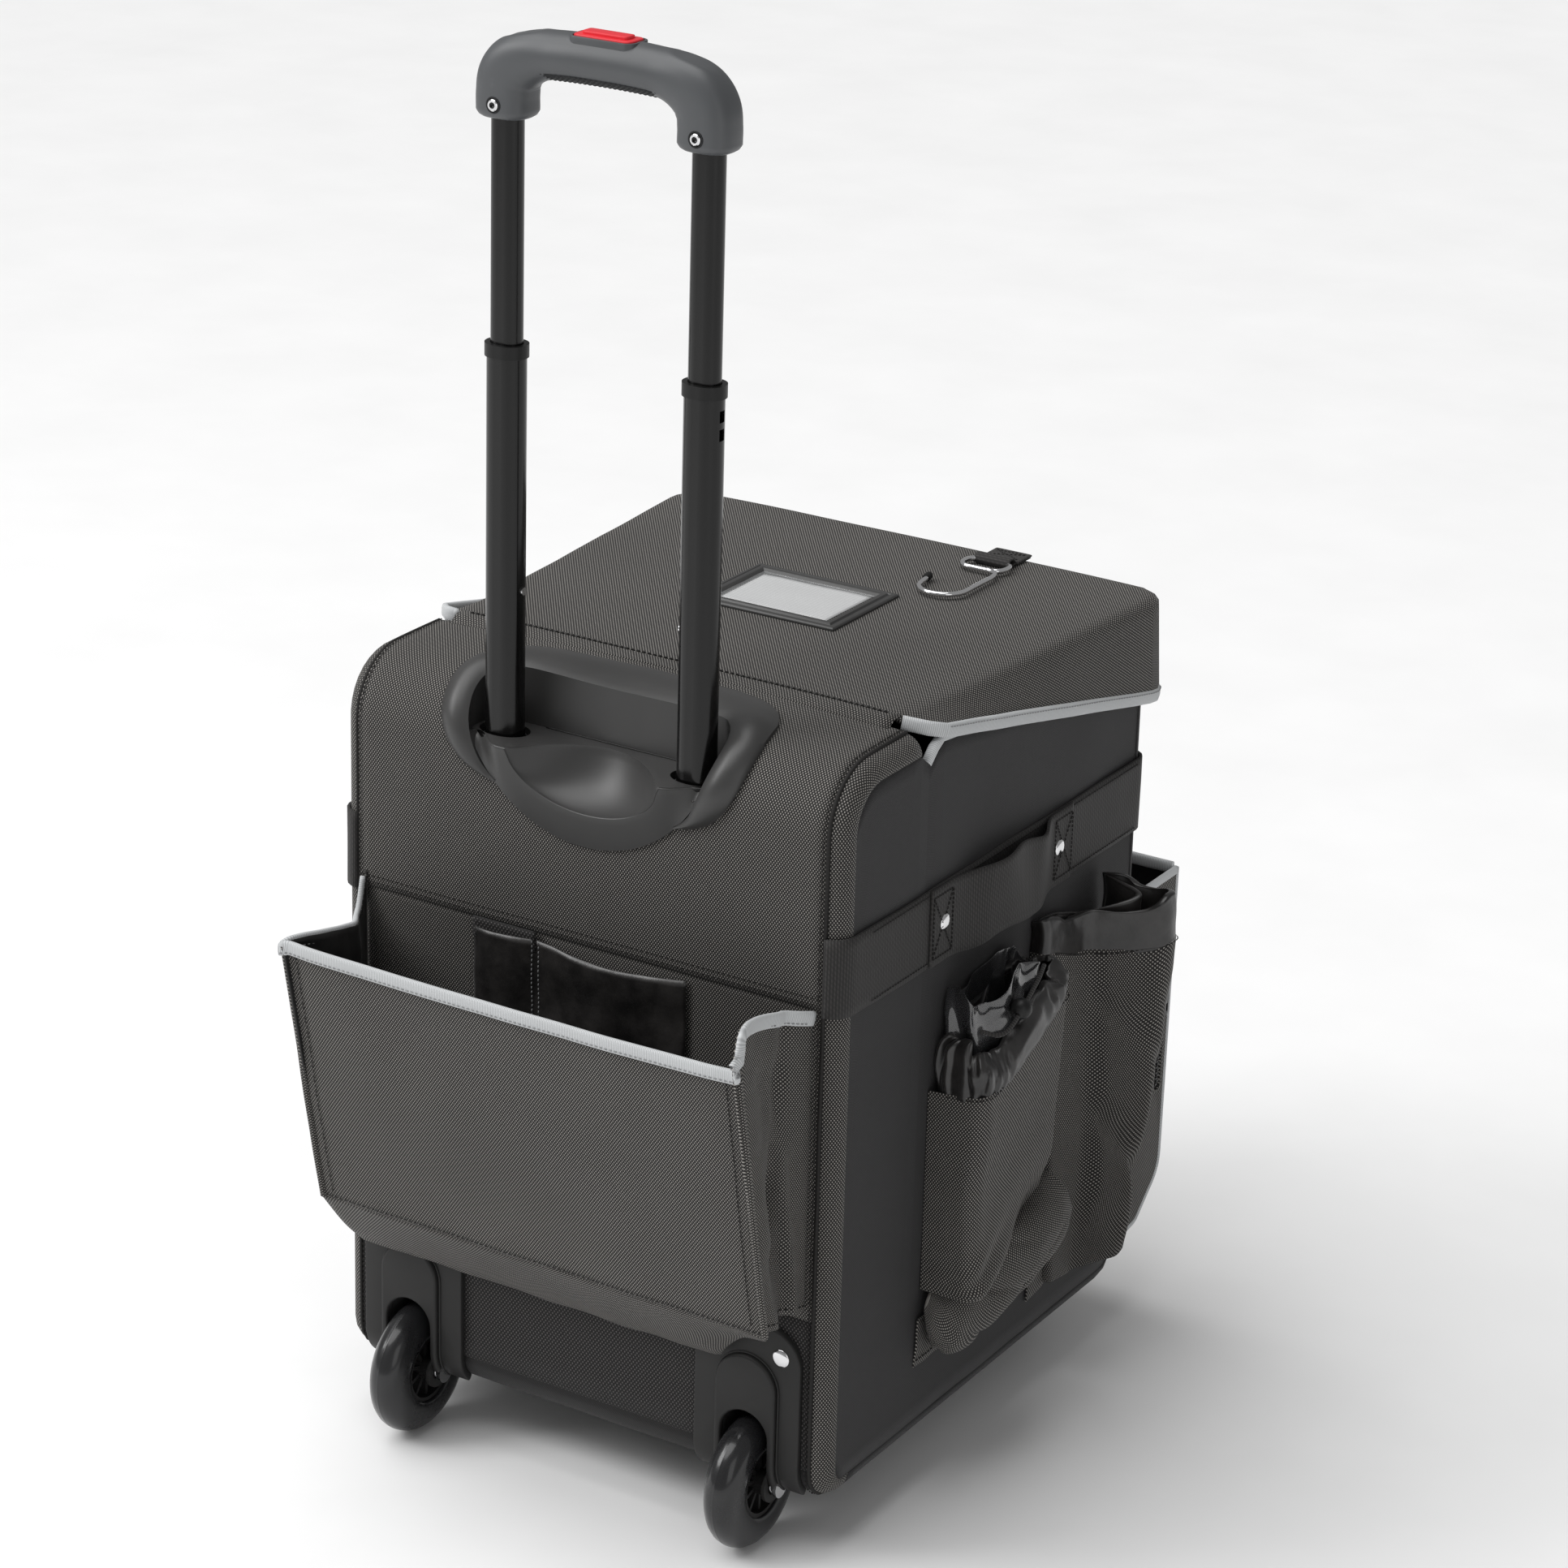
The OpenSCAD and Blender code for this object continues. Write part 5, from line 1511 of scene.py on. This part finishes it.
def make_organizer():
    low, high = span("organizer_pouch")

    def pleats(x, v):
        t = (x - low.x) / (high.x - low.x)
        belly = 6.0 * (math.sin(math.pi * min(t / 0.3, 1)) if t < 0.3
                       else math.sin(math.pi * (t - 0.3) / 0.7) ** 0.7)
        belly *= 0.35 + 0.65 * v
        droop = (1.6 if t > 0.3 else 0.8) * v ** 6 * (1 - math.cos(math.tau * (t - 0.3) / 0.7))
        return x, -2.2 - max(belly + crumple((x, v * 130, 2), 22, 2.0), 0.2), lerp(low.z, high.z, v) - droop
    nylon = sheet("nylon", pleats, steps(70, low.x, high.x), steps(30), SOFT_NYLON, 1.0)
    divide = low.x + 0.3 * (high.x - low.x)
    seams = [stitches("seam", [pleats(divide + d, v) for v in steps(20)], PALE_THREAD, None, 3.0, 2.2, 0.35)
             for d in (-2.4, 2.4)]
    tab = sheet("tab", lambda x, v: (x, -3.4 - 0.8 * v, lerp(high.z - 8, high.z + 5, v)),
                steps(16, low.x, divide), steps(4), MESH_CLOTH, 1.6)
    fit(join("organizer_nylon", [nylon, *seams, tab]), "case", "nylon_lining", "organizer_pouch")


# ---- side pouches ----


def pouch_line(near, far, reach, front_r, back_r):
    """The way round a pouch in plan, from the case out, along and back, as (x, y)."""
    return Outline([(SIDE_X + 0.6, near), (reach, near, front_r), (reach, far, back_r),
                    (SIDE_X + 0.6, far)], 12)


LINER_LOW, LINER_HIGH = span("liner_pouch")
LINER_LINE = pouch_line(LINER_LOW.y + 0.5, LINER_HIGH.y - 1, LINER_HIGH.x - 1.2, 12, 7)


def liner_lip(x, y):
    """Height of the liner pouch's mouth, which rises towards the front of the case."""
    t = (y - LINER_LOW.y) / (LINER_HIGH.y - LINER_LOW.y)
    return 281 + 39 * smooth(t * 0.9 + 0.05) + 4 * (x - SIDE_X) / 45 * (1 - t)


def make_liner_pouch():
    low_y, high_y = LINER_LOW.y, LINER_HIGH.y
    base = SIDE_X + 0.6

    def fold(y):
        return 150 + 34 * smooth((y - low_y) / (high_y - low_y))

    def body(s, v):
        spot = LINER_LINE.spot(s)
        t = (spot.y - low_y) / (high_y - low_y)
        top = liner_lip(spot.x, spot.y)
        z = lerp(fold(spot.y) - 5, top, v)
        share = (spot.x - base) / (LINER_HIGH.x - base)
        rise = z - fold(spot.y)
        fill = 0.9 + 0.08 * v - 0.06 * math.sin(math.pi * v) - 0.26 * smooth((t - 0.3) / 0.5) * bell(rise, 22)
        fill += 0.07 * bell(rise, 10) * smooth((0.4 - t) / 0.3)
        swell = crumple((spot.x, spot.y, z), 48, 2.0) * smooth(share)
        rays = 1.5 * math.sin(math.atan2(rise + 4, spot.y - low_y + 16) * 11) * bell(rise, 34) * share
        x = base + (spot.x - base) * fill + swell + rays - 1.2 * share
        return min(x, LINER_HIGH.x), spot.y + crumple((z, 5, spot.x), 40, 2.5) * share, z
    ss = steps(84, 0, LINER_LINE.length)
    shell = sheet("liner_pouch_shell", body, ss, steps(90), CLOTH, 1.6, LINING)
    shell = modify(shell, "SUBSURF", levels=1, render_levels=1)
    lip = stitches("lip", [Vector(body(s, 0.985)) + Vector((0.8, 0, 0)) for s in ss[6:-6]], DARK_THREAD,
                   (1, 0, 0), 3.2, 2.4, 0.45)
    axis = curve([(base + 6, low_y + 1, 140), (base + 12, low_y + 10, 134), (base + 15, low_y + 30, 131),
                  (base + 19, low_y + 60, 141), (base + 22, low_y + 96, 154),
                  (base + 22, low_y + 126, 165)], 84)

    def section(t):
        wide = lerp(13, 22.5, smooth(t / 0.75)) * smooth((t + 0.05) / 0.2) * (1 - 0.2
                                                                              * smooth((t - 0.86) / 0.14))
        tall = lerp(6, 31, smooth((t + 0.02) / 0.16)) - 7 * smooth((t - 0.3) / 0.6)
        shape = []
        for k in range(72):
            a = math.tau * k / 72
            pleat = 1 - abs(math.sin(1.5 * a + 3.4 * t + 0.3))
            drape = (0.10 - 0.34 * pleat ** 3) * smooth(t * 5) * smooth((1.0 - t) * 2.0)
            drape += -0.22 * (1 - abs(math.sin(2.5 * a - 8.0 * t))) ** 4 * bell(t - 0.3, 0.26)
            reach = 1 + drape + 0.10 * noise.noise(Vector((math.cos(a) * 1.6, math.sin(a) * 1.6, t * 6)))
            shape.append((wide * reach * math.cos(a), tall * reach * math.sin(a)))
        return shape
    roll = sweep("roll", axis, section, CLOTH, across=[(1, 0, 0)] * len(axis))
    warp(roll, lambda p: Vector((min(max(p.x, base + 0.4), LINER_HIGH.x), p.y, p.z)))
    roll = modify(roll, "SUBSURF", levels=1, render_levels=1)
    end_seam = stitches("end_seam", [(base + 19 + 13 * math.cos(a), low_y + 120.5, 166 + 20 * math.sin(a))
                                     for a in steps(20, -1.4, 1.4)], DARK_THREAD, (0, 1, 0))

    def flange(u, v):
        y = lerp(low_y - 3, low_y + 118, u)
        foot = 92 + 62 * smooth((u - 0.22) / 0.75)
        return SIDE_X + 1.8 + 1.0 * v + crumple((y, v * 30, 9), 16, 1.4), y, lerp(foot, foot + 34, v)
    skirt = sheet("skirt", flange, steps(60), steps(8), CLOTH, 1.2)
    skirt_seam = stitches("skirt_seam", [Vector(flange(u, 0.14)) + Vector((0.4, 0, 0)) for u in steps(40)],
                          DARK_THREAD, (1, 0, 0))
    fit(join("liner_pouch_cloth", [shell, lip, roll, end_seam, skirt, skirt_seam]), "case",
        "ballistic_fabric", "liner_pouch")

    centre = Vector(((base + LINER_HIGH.x) / 2 - 1.5, (low_y + high_y) / 2))
    half = Vector(((LINER_HIGH.x - base) / 2 - 1.0, (high_y - low_y) / 2 - 1.5))

    def squared(a, power):
        """A direction round a rounded rectangle."""
        return Vector([math.copysign(abs(f) ** power, f) for f in (math.cos(a), math.sin(a))])

    def collar(turn, v):
        a = turn * math.tau
        plan = squared(a, 0.55)
        draw = lerp(1.0, 0.66, smooth(v * 1.25 - 0.15))
        round_way = Vector((math.cos(a), math.sin(a), 0.35 * v))
        pucker = (5.2 * noise.noise(round_way * 3.1) + 3.0 * noise.noise(round_way * 7.3)) * smooth(v * 2.0)
        pucker += 0.9 * math.sin(a * 31 + 5 * math.sin(a * 3)) * bell(v - 0.35, 0.4)
        bulge = 6.0 * math.sin(math.pi * min(v * 1.15, 1)) * (1 + 1.3
                                                              * noise.noise(round_way * 2.3
                                                                            + Vector((4, 1, 2))))
        reach = Vector((half.x * draw + pucker + bulge * 0.6,
                        half.y * lerp(1.0, 0.87, v) + pucker * 1.3 + bulge * 0.4))
        x, y = centre.x + plan.x * reach.x, centre.y + plan.y * reach.y
        rise = 24 + 17 * bell(y - low_y, 26) * (1 if plan.x < 0.3 else 0.35) + 2.5 * math.sin(a * 5 + 1)
        crest = math.sin(min(v * 1.12, 1) * math.pi / 2) - 0.16 * smooth((v - 0.86) / 0.14)
        z = liner_lip(x, y) - 4 + rise * crest + crumple((x, y, v * 30), 15, 5.5) * v
        x = max(x + crumple((z, y, 3), 15, 4.4) * v, base + 1.2)
        return min(x, LINER_HIGH.x), y + crumple((x, z, 8), 14, 3.4) * v, z
    gathered = wrap_sheet("gathered_collar", collar, 150, steps(22), SOFT_NYLON, 0.9, subdivide=1)
    fit(gathered, "case", "nylon_lining", "liner_pouch_collar")

    def bag(turn, v):
        a = turn * math.tau
        low = Vector((centre.x - 5, centre.y - 3))
        reach = Vector((lerp(12.5, 15.5, v), lerp(36, 42, v)))
        fold = 2.6 * math.sin(a * 6 + 3 * v) * smooth(v * 2)
        plan = squared(a, 0.7)
        x = low.x + plan.x * (reach.x + fold)
        y = low.y + plan.y * (reach.y + fold)
        top = 344 + 5 * math.sin(a * 3 + 0.6) + 9 * bell(y - 158, 14) * (1 if plan.x > 0 else 0.2)
        top += 4 * noise.noise(Vector((a * 2, 0, 7)))
        z = lerp(266, top, v)
        return max(x + crumple((z, y, 1), 19, 4.6), base + 2.5), y + crumple((x, z, 5), 17, 4.0), z
    clear = wrap_sheet("clear_bag", bag, 120, steps(30), FILM, 0.35, subdivide=1)
    fit(clear, "case", "clear_film", "liner_bag")


def wrap_sheet(name, point, count, vs, material, thick, subdivide=0):
    """A closed sleeve: point(turn, v) for turn from 0 to 1 right round."""
    rings = [[Vector(point(k / count, v)) for k in range(count)] for v in vs]
    sleeve = loft(name, rings, material, caps=False)
    modify(sleeve, "SOLIDIFY", thickness=thick * MM, offset=0, use_even_offset=False)
    if subdivide:
        modify(sleeve, "SUBSURF", levels=subdivide, render_levels=subdivide)
    return sleeve


# The drawcord's route from one eyelet of the collar through its stop to the other.
DRAWCORD = [(216, 186, 345), (220, 168, 339), (224, 126, 324.5), (214, 112, 327)]
CORD_R = 1.4


def make_drawcord():
    path = curve(DRAWCORD, 48)
    line = sweep("drawcord_braid", path, ring_section(CORD_R, CORD_R, 12), CORD)
    fit(line, "case", "cord", "drawcord")
    place(DRAWCORD[0])
    [place(p) for p in path]


def make_cord_stop():
    low, high = span("cord_lock")
    centre = (low + high) / 2
    along = (Vector(DRAWCORD[2]) - Vector(DRAWCORD[1])).normalized()
    ball = [(-6.9, 1.9), (-6.6, 2.6)]
    ball += [(-6.2 * math.cos(a), max(7.0 * math.sin(a) ** 0.85, 2.6))
             for a in steps(16, 0.38, math.pi - 0.38)]
    ball += [(6.6, 2.6), (6.9, 1.9)]
    body = lathe("cord_stop_ball", ball, (0, 0, 0), COLLAR, 40, closed=True)
    turn = Vector((1, 0, 0)).rotation_difference(along)
    warp(body, lambda p: centre + turn @ p)
    fit(body, "cord_stop", "moulded_plastic", "cord_lock")


def make_tall_pouch():
    low, high = span("tall_pouch")
    base = SIDE_X + 0.6
    reach = high.x - 1.4
    crook = low.y + 0.56 * (high.y - low.y)
    line = Outline([(base, low.y + 0.5), (base + 11, low.y + 0.5, 6), (base + 13, crook, 12),
                    (reach, high.y - 20, 11), (reach - 2, high.y - 1.5, 9), (base, high.y - 1.5)], 12)
    middle = (low.y + high.y) / 2
    cuff_top = span("tall_pouch_band")[1].z

    def mouth(y):
        """Height of the cuff's upper edge, lowest where its near wall meets the case."""
        return cuff_top - 2 - 10 * smooth((y - low.y) / (crook - low.y)) + 12 * smooth((y - crook) / 30)

    def body(s, v):
        spot = line.spot(s)
        t = (spot.y - low.y) / (high.y - low.y)
        share = (spot.x - base) / (high.x - base)
        foot = 80 + 22 * smooth((t - 0.45) / 0.5)
        z = lerp(foot, mouth(spot.y) - lerp(18, 29, t), v)
        hang = 1 - smooth((z - 80) / 250)
        filled = 13 * bell(z - 190, 90) * math.sin(math.pi * min(max(t, 0), 1)) * smooth((share - 0.1) * 4)
        y = lerp(spot.y, middle + 14 + (spot.y - middle - 6) * 0.42, hang)
        slant = (z - 236) * 0.62 + (spot.y - low.y)
        dent = 9 * bell(slant - 34, 8) + 7 * bell(slant + 24, 8) * bell(z - 170, 60) - 4.0 * bell(slant - 6,
                                                                                                  12)
        dent += 6 * bell(slant - 84, 7) * bell(z - 282, 50)
        outer = smooth((share - 0.15) * 4)
        x = base + (spot.x - base) * lerp(1.0, 0.62, hang) + filled - dent * outer * 0.8
        x += crumple((spot.x, spot.y, z), 34, 3.0) * share
        y += crumple((z, 2, spot.x), 34, 4) * share
        return min(max(x, base), high.x - 0.5), min(max(y, low.y), high.y), z
    ss = steps(90, 0, line.length)
    shell = sheet("shell", body, ss, steps(100), CLOTH, 1.6, LINING)
    shell = modify(shell, "SUBSURF", levels=1, render_levels=1)

    def flange(u, v):
        y = lerp(low.y + 18, high.y - 8, u)
        foot = 78 + 16 * smooth(u)
        return SIDE_X + 1.8 + 1.0 * v + crumple((y, v * 30, 11), 16, 1.4), y, lerp(foot - 3, foot + 26, v)
    skirt = sheet("skirt", flange, steps(40), steps(8), CLOTH, 1.2)
    fit(join("tall_pouch_cloth", [shell, skirt]), "case", "ballistic_fabric", "tall_pouch")

    rims = [line.spot(s) for s in ss]
    back = [Vector((base + 1 + (reach - base - 22) * smooth((y - crook + 6) / 34)
                    * smooth((high.y - y) / 16), y)) for y in steps(30, high.y - 1.5, low.y + 0.5)][1:-1]
    loop = rims + back

    def band(turn, v):
        k = turn * len(loop)
        spot = loop[int(k) % len(loop)].lerp(loop[(int(k) + 1) % len(loop)], k - int(k))
        inward = Vector((base + 9 + 14 * smooth((spot.y - crook) / 40) - spot.x,
                         (middle - spot.y) * 0.3)).normalized()
        outside = v < 0.56
        height = v / 0.56 if outside else (1 - v) / 0.44
        top = mouth(spot.y)
        t = (spot.y - low.y) / (high.y - low.y)
        foot = top - lerp(18, 29, t) - 3 if outside else top - 32
        gap = (0.0 if outside else 3.2) + 1.8 * smooth((height - 0.85) / 0.15)
        wave = (0.9 * math.sin(turn * 44) + 0.8 * math.sin(turn * 71 + 1)) * height
        plan = spot + inward * (gap + wave + 1.4 * math.sin(math.pi * height))
        z = lerp(foot, top, math.sin(height * math.pi / 2)) + 2.2 * math.sin(turn * 29) * height
        x = plan.x + crumple((plan.y, z, 4), 15, 3.2) * height
        y = plan.y + crumple((plan.x, z, 6), 15, 3.0) * height
        return min(max(x, base + 0.6), high.x + 1.0), min(max(y, low.y - 1), high.y + 1), z
    cuff = wrap_sheet("cuff", band, 150, steps(30), SOFT_NYLON, 0.9, subdivide=1)
    seam = stitches("seam", [Vector(body(s, 0.99)) + Vector((1.0, 0, 0)) for s in ss[10:-10]], DARK_THREAD,
                    (1, 0, 0), 3.2, 2.4, 0.45)
    fit(join("tall_pouch_cuff", [cuff, seam]), "case", "nylon_lining", "tall_pouch_band")


# ---- the zipped front pocket ----


def at_x(a, b, c):
    """Places an outline drawn in (y, z) at x."""
    return c, a, b


def make_front_pocket():
    low, high = span("front_pocket_gussets")
    face = Outline([(CASE_D, low.z + 1), (CASE_D + 22, low.z + 4, 8), (high.y - 4, 98, 26),
                    (high.y - 1.5, high.z)], 12)
    xs = steps(60, SIDE_X - 0.5, -SIDE_X + 0.5)

    def panel(x, s):
        spot, normal = face.at(s)
        swell = 2.2 * math.sin(math.pi * s / face.length) * (1 - (x / SIDE_X) ** 2) + crumple((x, s, 7), 45,
                                                                                              1.2)
        reach = min(swell, 1.4)
        return x, min(spot.x - normal.x * reach, high.y - 0.6), spot.y - normal.y * reach
    front = sheet("front_pocket_cloth", panel, xs, steps(60, 0, face.length), CLOTH, 1.9, LINING)
    fit(front, "case", "ballistic_fabric", "front_pocket_panel")

    zip_low, zip_high = span("zipper_chain")
    zip_y, zip_z = (zip_low.y + zip_high.y) / 2, (zip_low.z + zip_high.z) / 2
    zip_half = (zip_high.z - zip_low.z) / 2
    gussets = []
    outline = [(CASE_D - 1, high.z - 3), *[tuple(p) for p in reversed(face.points)]]
    for side in (1, -1):
        slot_hole = [round_rect(4.0, zip_half, 3.6, (zip_y, zip_z))] if side == 1 else ()
        wall = prism("wall", outline, lambda a, b, c, s=side: (s * (SIDE_X + c), a, b), 0.0, 2.1, CLOTH,
                     holes=slot_hole, bevel=0.5)
        lay_flat(wall)
        gussets.append(wall)
    welt = loft("welt", [[(SIDE_X + 2.0 + lift, zip_y + a, zip_z + b) for a,
                          b in round_rect(half, zip_half + half - 4.0, half, arc_steps=8)] for half,
                         lift in ((4.0, -1.2), (4.2, 0.3), (5.6, 0.45), (6.6, 0.1), (6.6, -0.8))], CLOTH,
                caps=False, closed=True)
    lay_flat(welt)
    seam = stitches("hem", [(SIDE_X + 2.4, CASE_D + 9, z) for z in (96, high.z - 8)], DARK_THREAD, (1, 0, 0))
    fit(join("front_pocket_sides", [*gussets, welt, seam]), "case", "ballistic_fabric",
        "front_pocket_gussets")

    tapes = []
    for side in (1, -1):
        edge = [(side * (SIDE_X + 0.4), *face.spot(s)) for s in [face.length * t for t in steps(70, 0.03, 1)]]
        tapes.append(sweep("piping", edge, ring_section(2.4, 2.4, 12), BINDING))
    mouth = [(x, high.y - 2.6, high.z - 0.4) for x in steps(40, SIDE_X - 1, -SIDE_X + 1)]
    tapes.append(sweep("mouth", mouth, ring_section(4.2, 2.0, 14, 3), BINDING, across=[(0, 0, 1)] * 41))
    for side in (1, -1):
        side_mouth = [(side * (SIDE_X + 1.0), y, high.z - 1.6) for y in steps(14, CASE_D, high.y - 2)]
        tapes.append(sweep("side_mouth", side_mouth, ring_section(3.0, 1.7, 12, 3), BINDING,
                           across=[(0, 0, 1)] * 15))
    fit(join("front_pocket_binding", tapes), "case", "grey_binding", "front_pocket_piping")

    middle_x = (zip_low.x + zip_high.x) / 2
    tape = prism("tape", round_rect(4.6, zip_half - 0.2, 2, (zip_y, zip_z)),
                 at_x, zip_low.x - 0.8, zip_low.x - 0.1, WEBBING)
    teeth = []
    count = int((zip_high.z - zip_low.z - 6) / 2.1)
    for k in range(count):
        z = zip_low.z + 4 + k * 2.1
        hand = 1 if k % 2 else -1
        block = round_rect(1.5, 0.72, 0.45, (zip_y + hand * 0.95, z), 2)
        teeth.append(prism("tooth", block, at_x, middle_x - 0.8, middle_x + 0.75, COLLAR))
    fit(join("zip_teeth", [tape, *teeth]), "case", "moulded_plastic", "zipper_chain")
    low, high = span("zipper_slider")
    shell_z = high.z - 8.5
    slider = prism("slider", round_rect(3.9, 5.4, 2.4, (zip_y, shell_z)), at_x, low.x, low.x + 2.1, GLOSS,
                   bevel=0.5)
    pull = prism("pull", round_rect(2.3, 13.6, 1.8, (zip_y, (low.z + high.z) / 2 - 2)), at_x, high.x - 1.3,
                 high.x - 0.1, GLOSS, holes=[round_rect(1.0, 3.0, 0.9, (zip_y, low.z + 6))], bevel=0.3)
    bridge = sweep("bridge", [(low.x + 1.8, zip_y, shell_z + 3), (high.x - 0.5, zip_y, shell_z + 2.0),
                              (high.x - 0.5, zip_y, shell_z - 2.0), (low.x + 1.8, zip_y, shell_z - 3)],
                   ring_section(0.8, 0.8, 8), GLOSS)
    fit(join("zip_slider_and_pull", [slider, pull, bridge]), "zip_slider", "moulded_plastic", "zipper_slider")


make_camera()
make_drawcord()
make_studio()
make_case()
make_bezel()
make_straps()
make_lid()
make_window()
make_hook()
make_rear_pocket()
make_organizer()
make_liner_pouch()
make_cord_stop()
make_tall_pouch()
make_front_pocket()
make_grip()
make_wheels()
make_housings()
make_rivets()
dress_nodes()
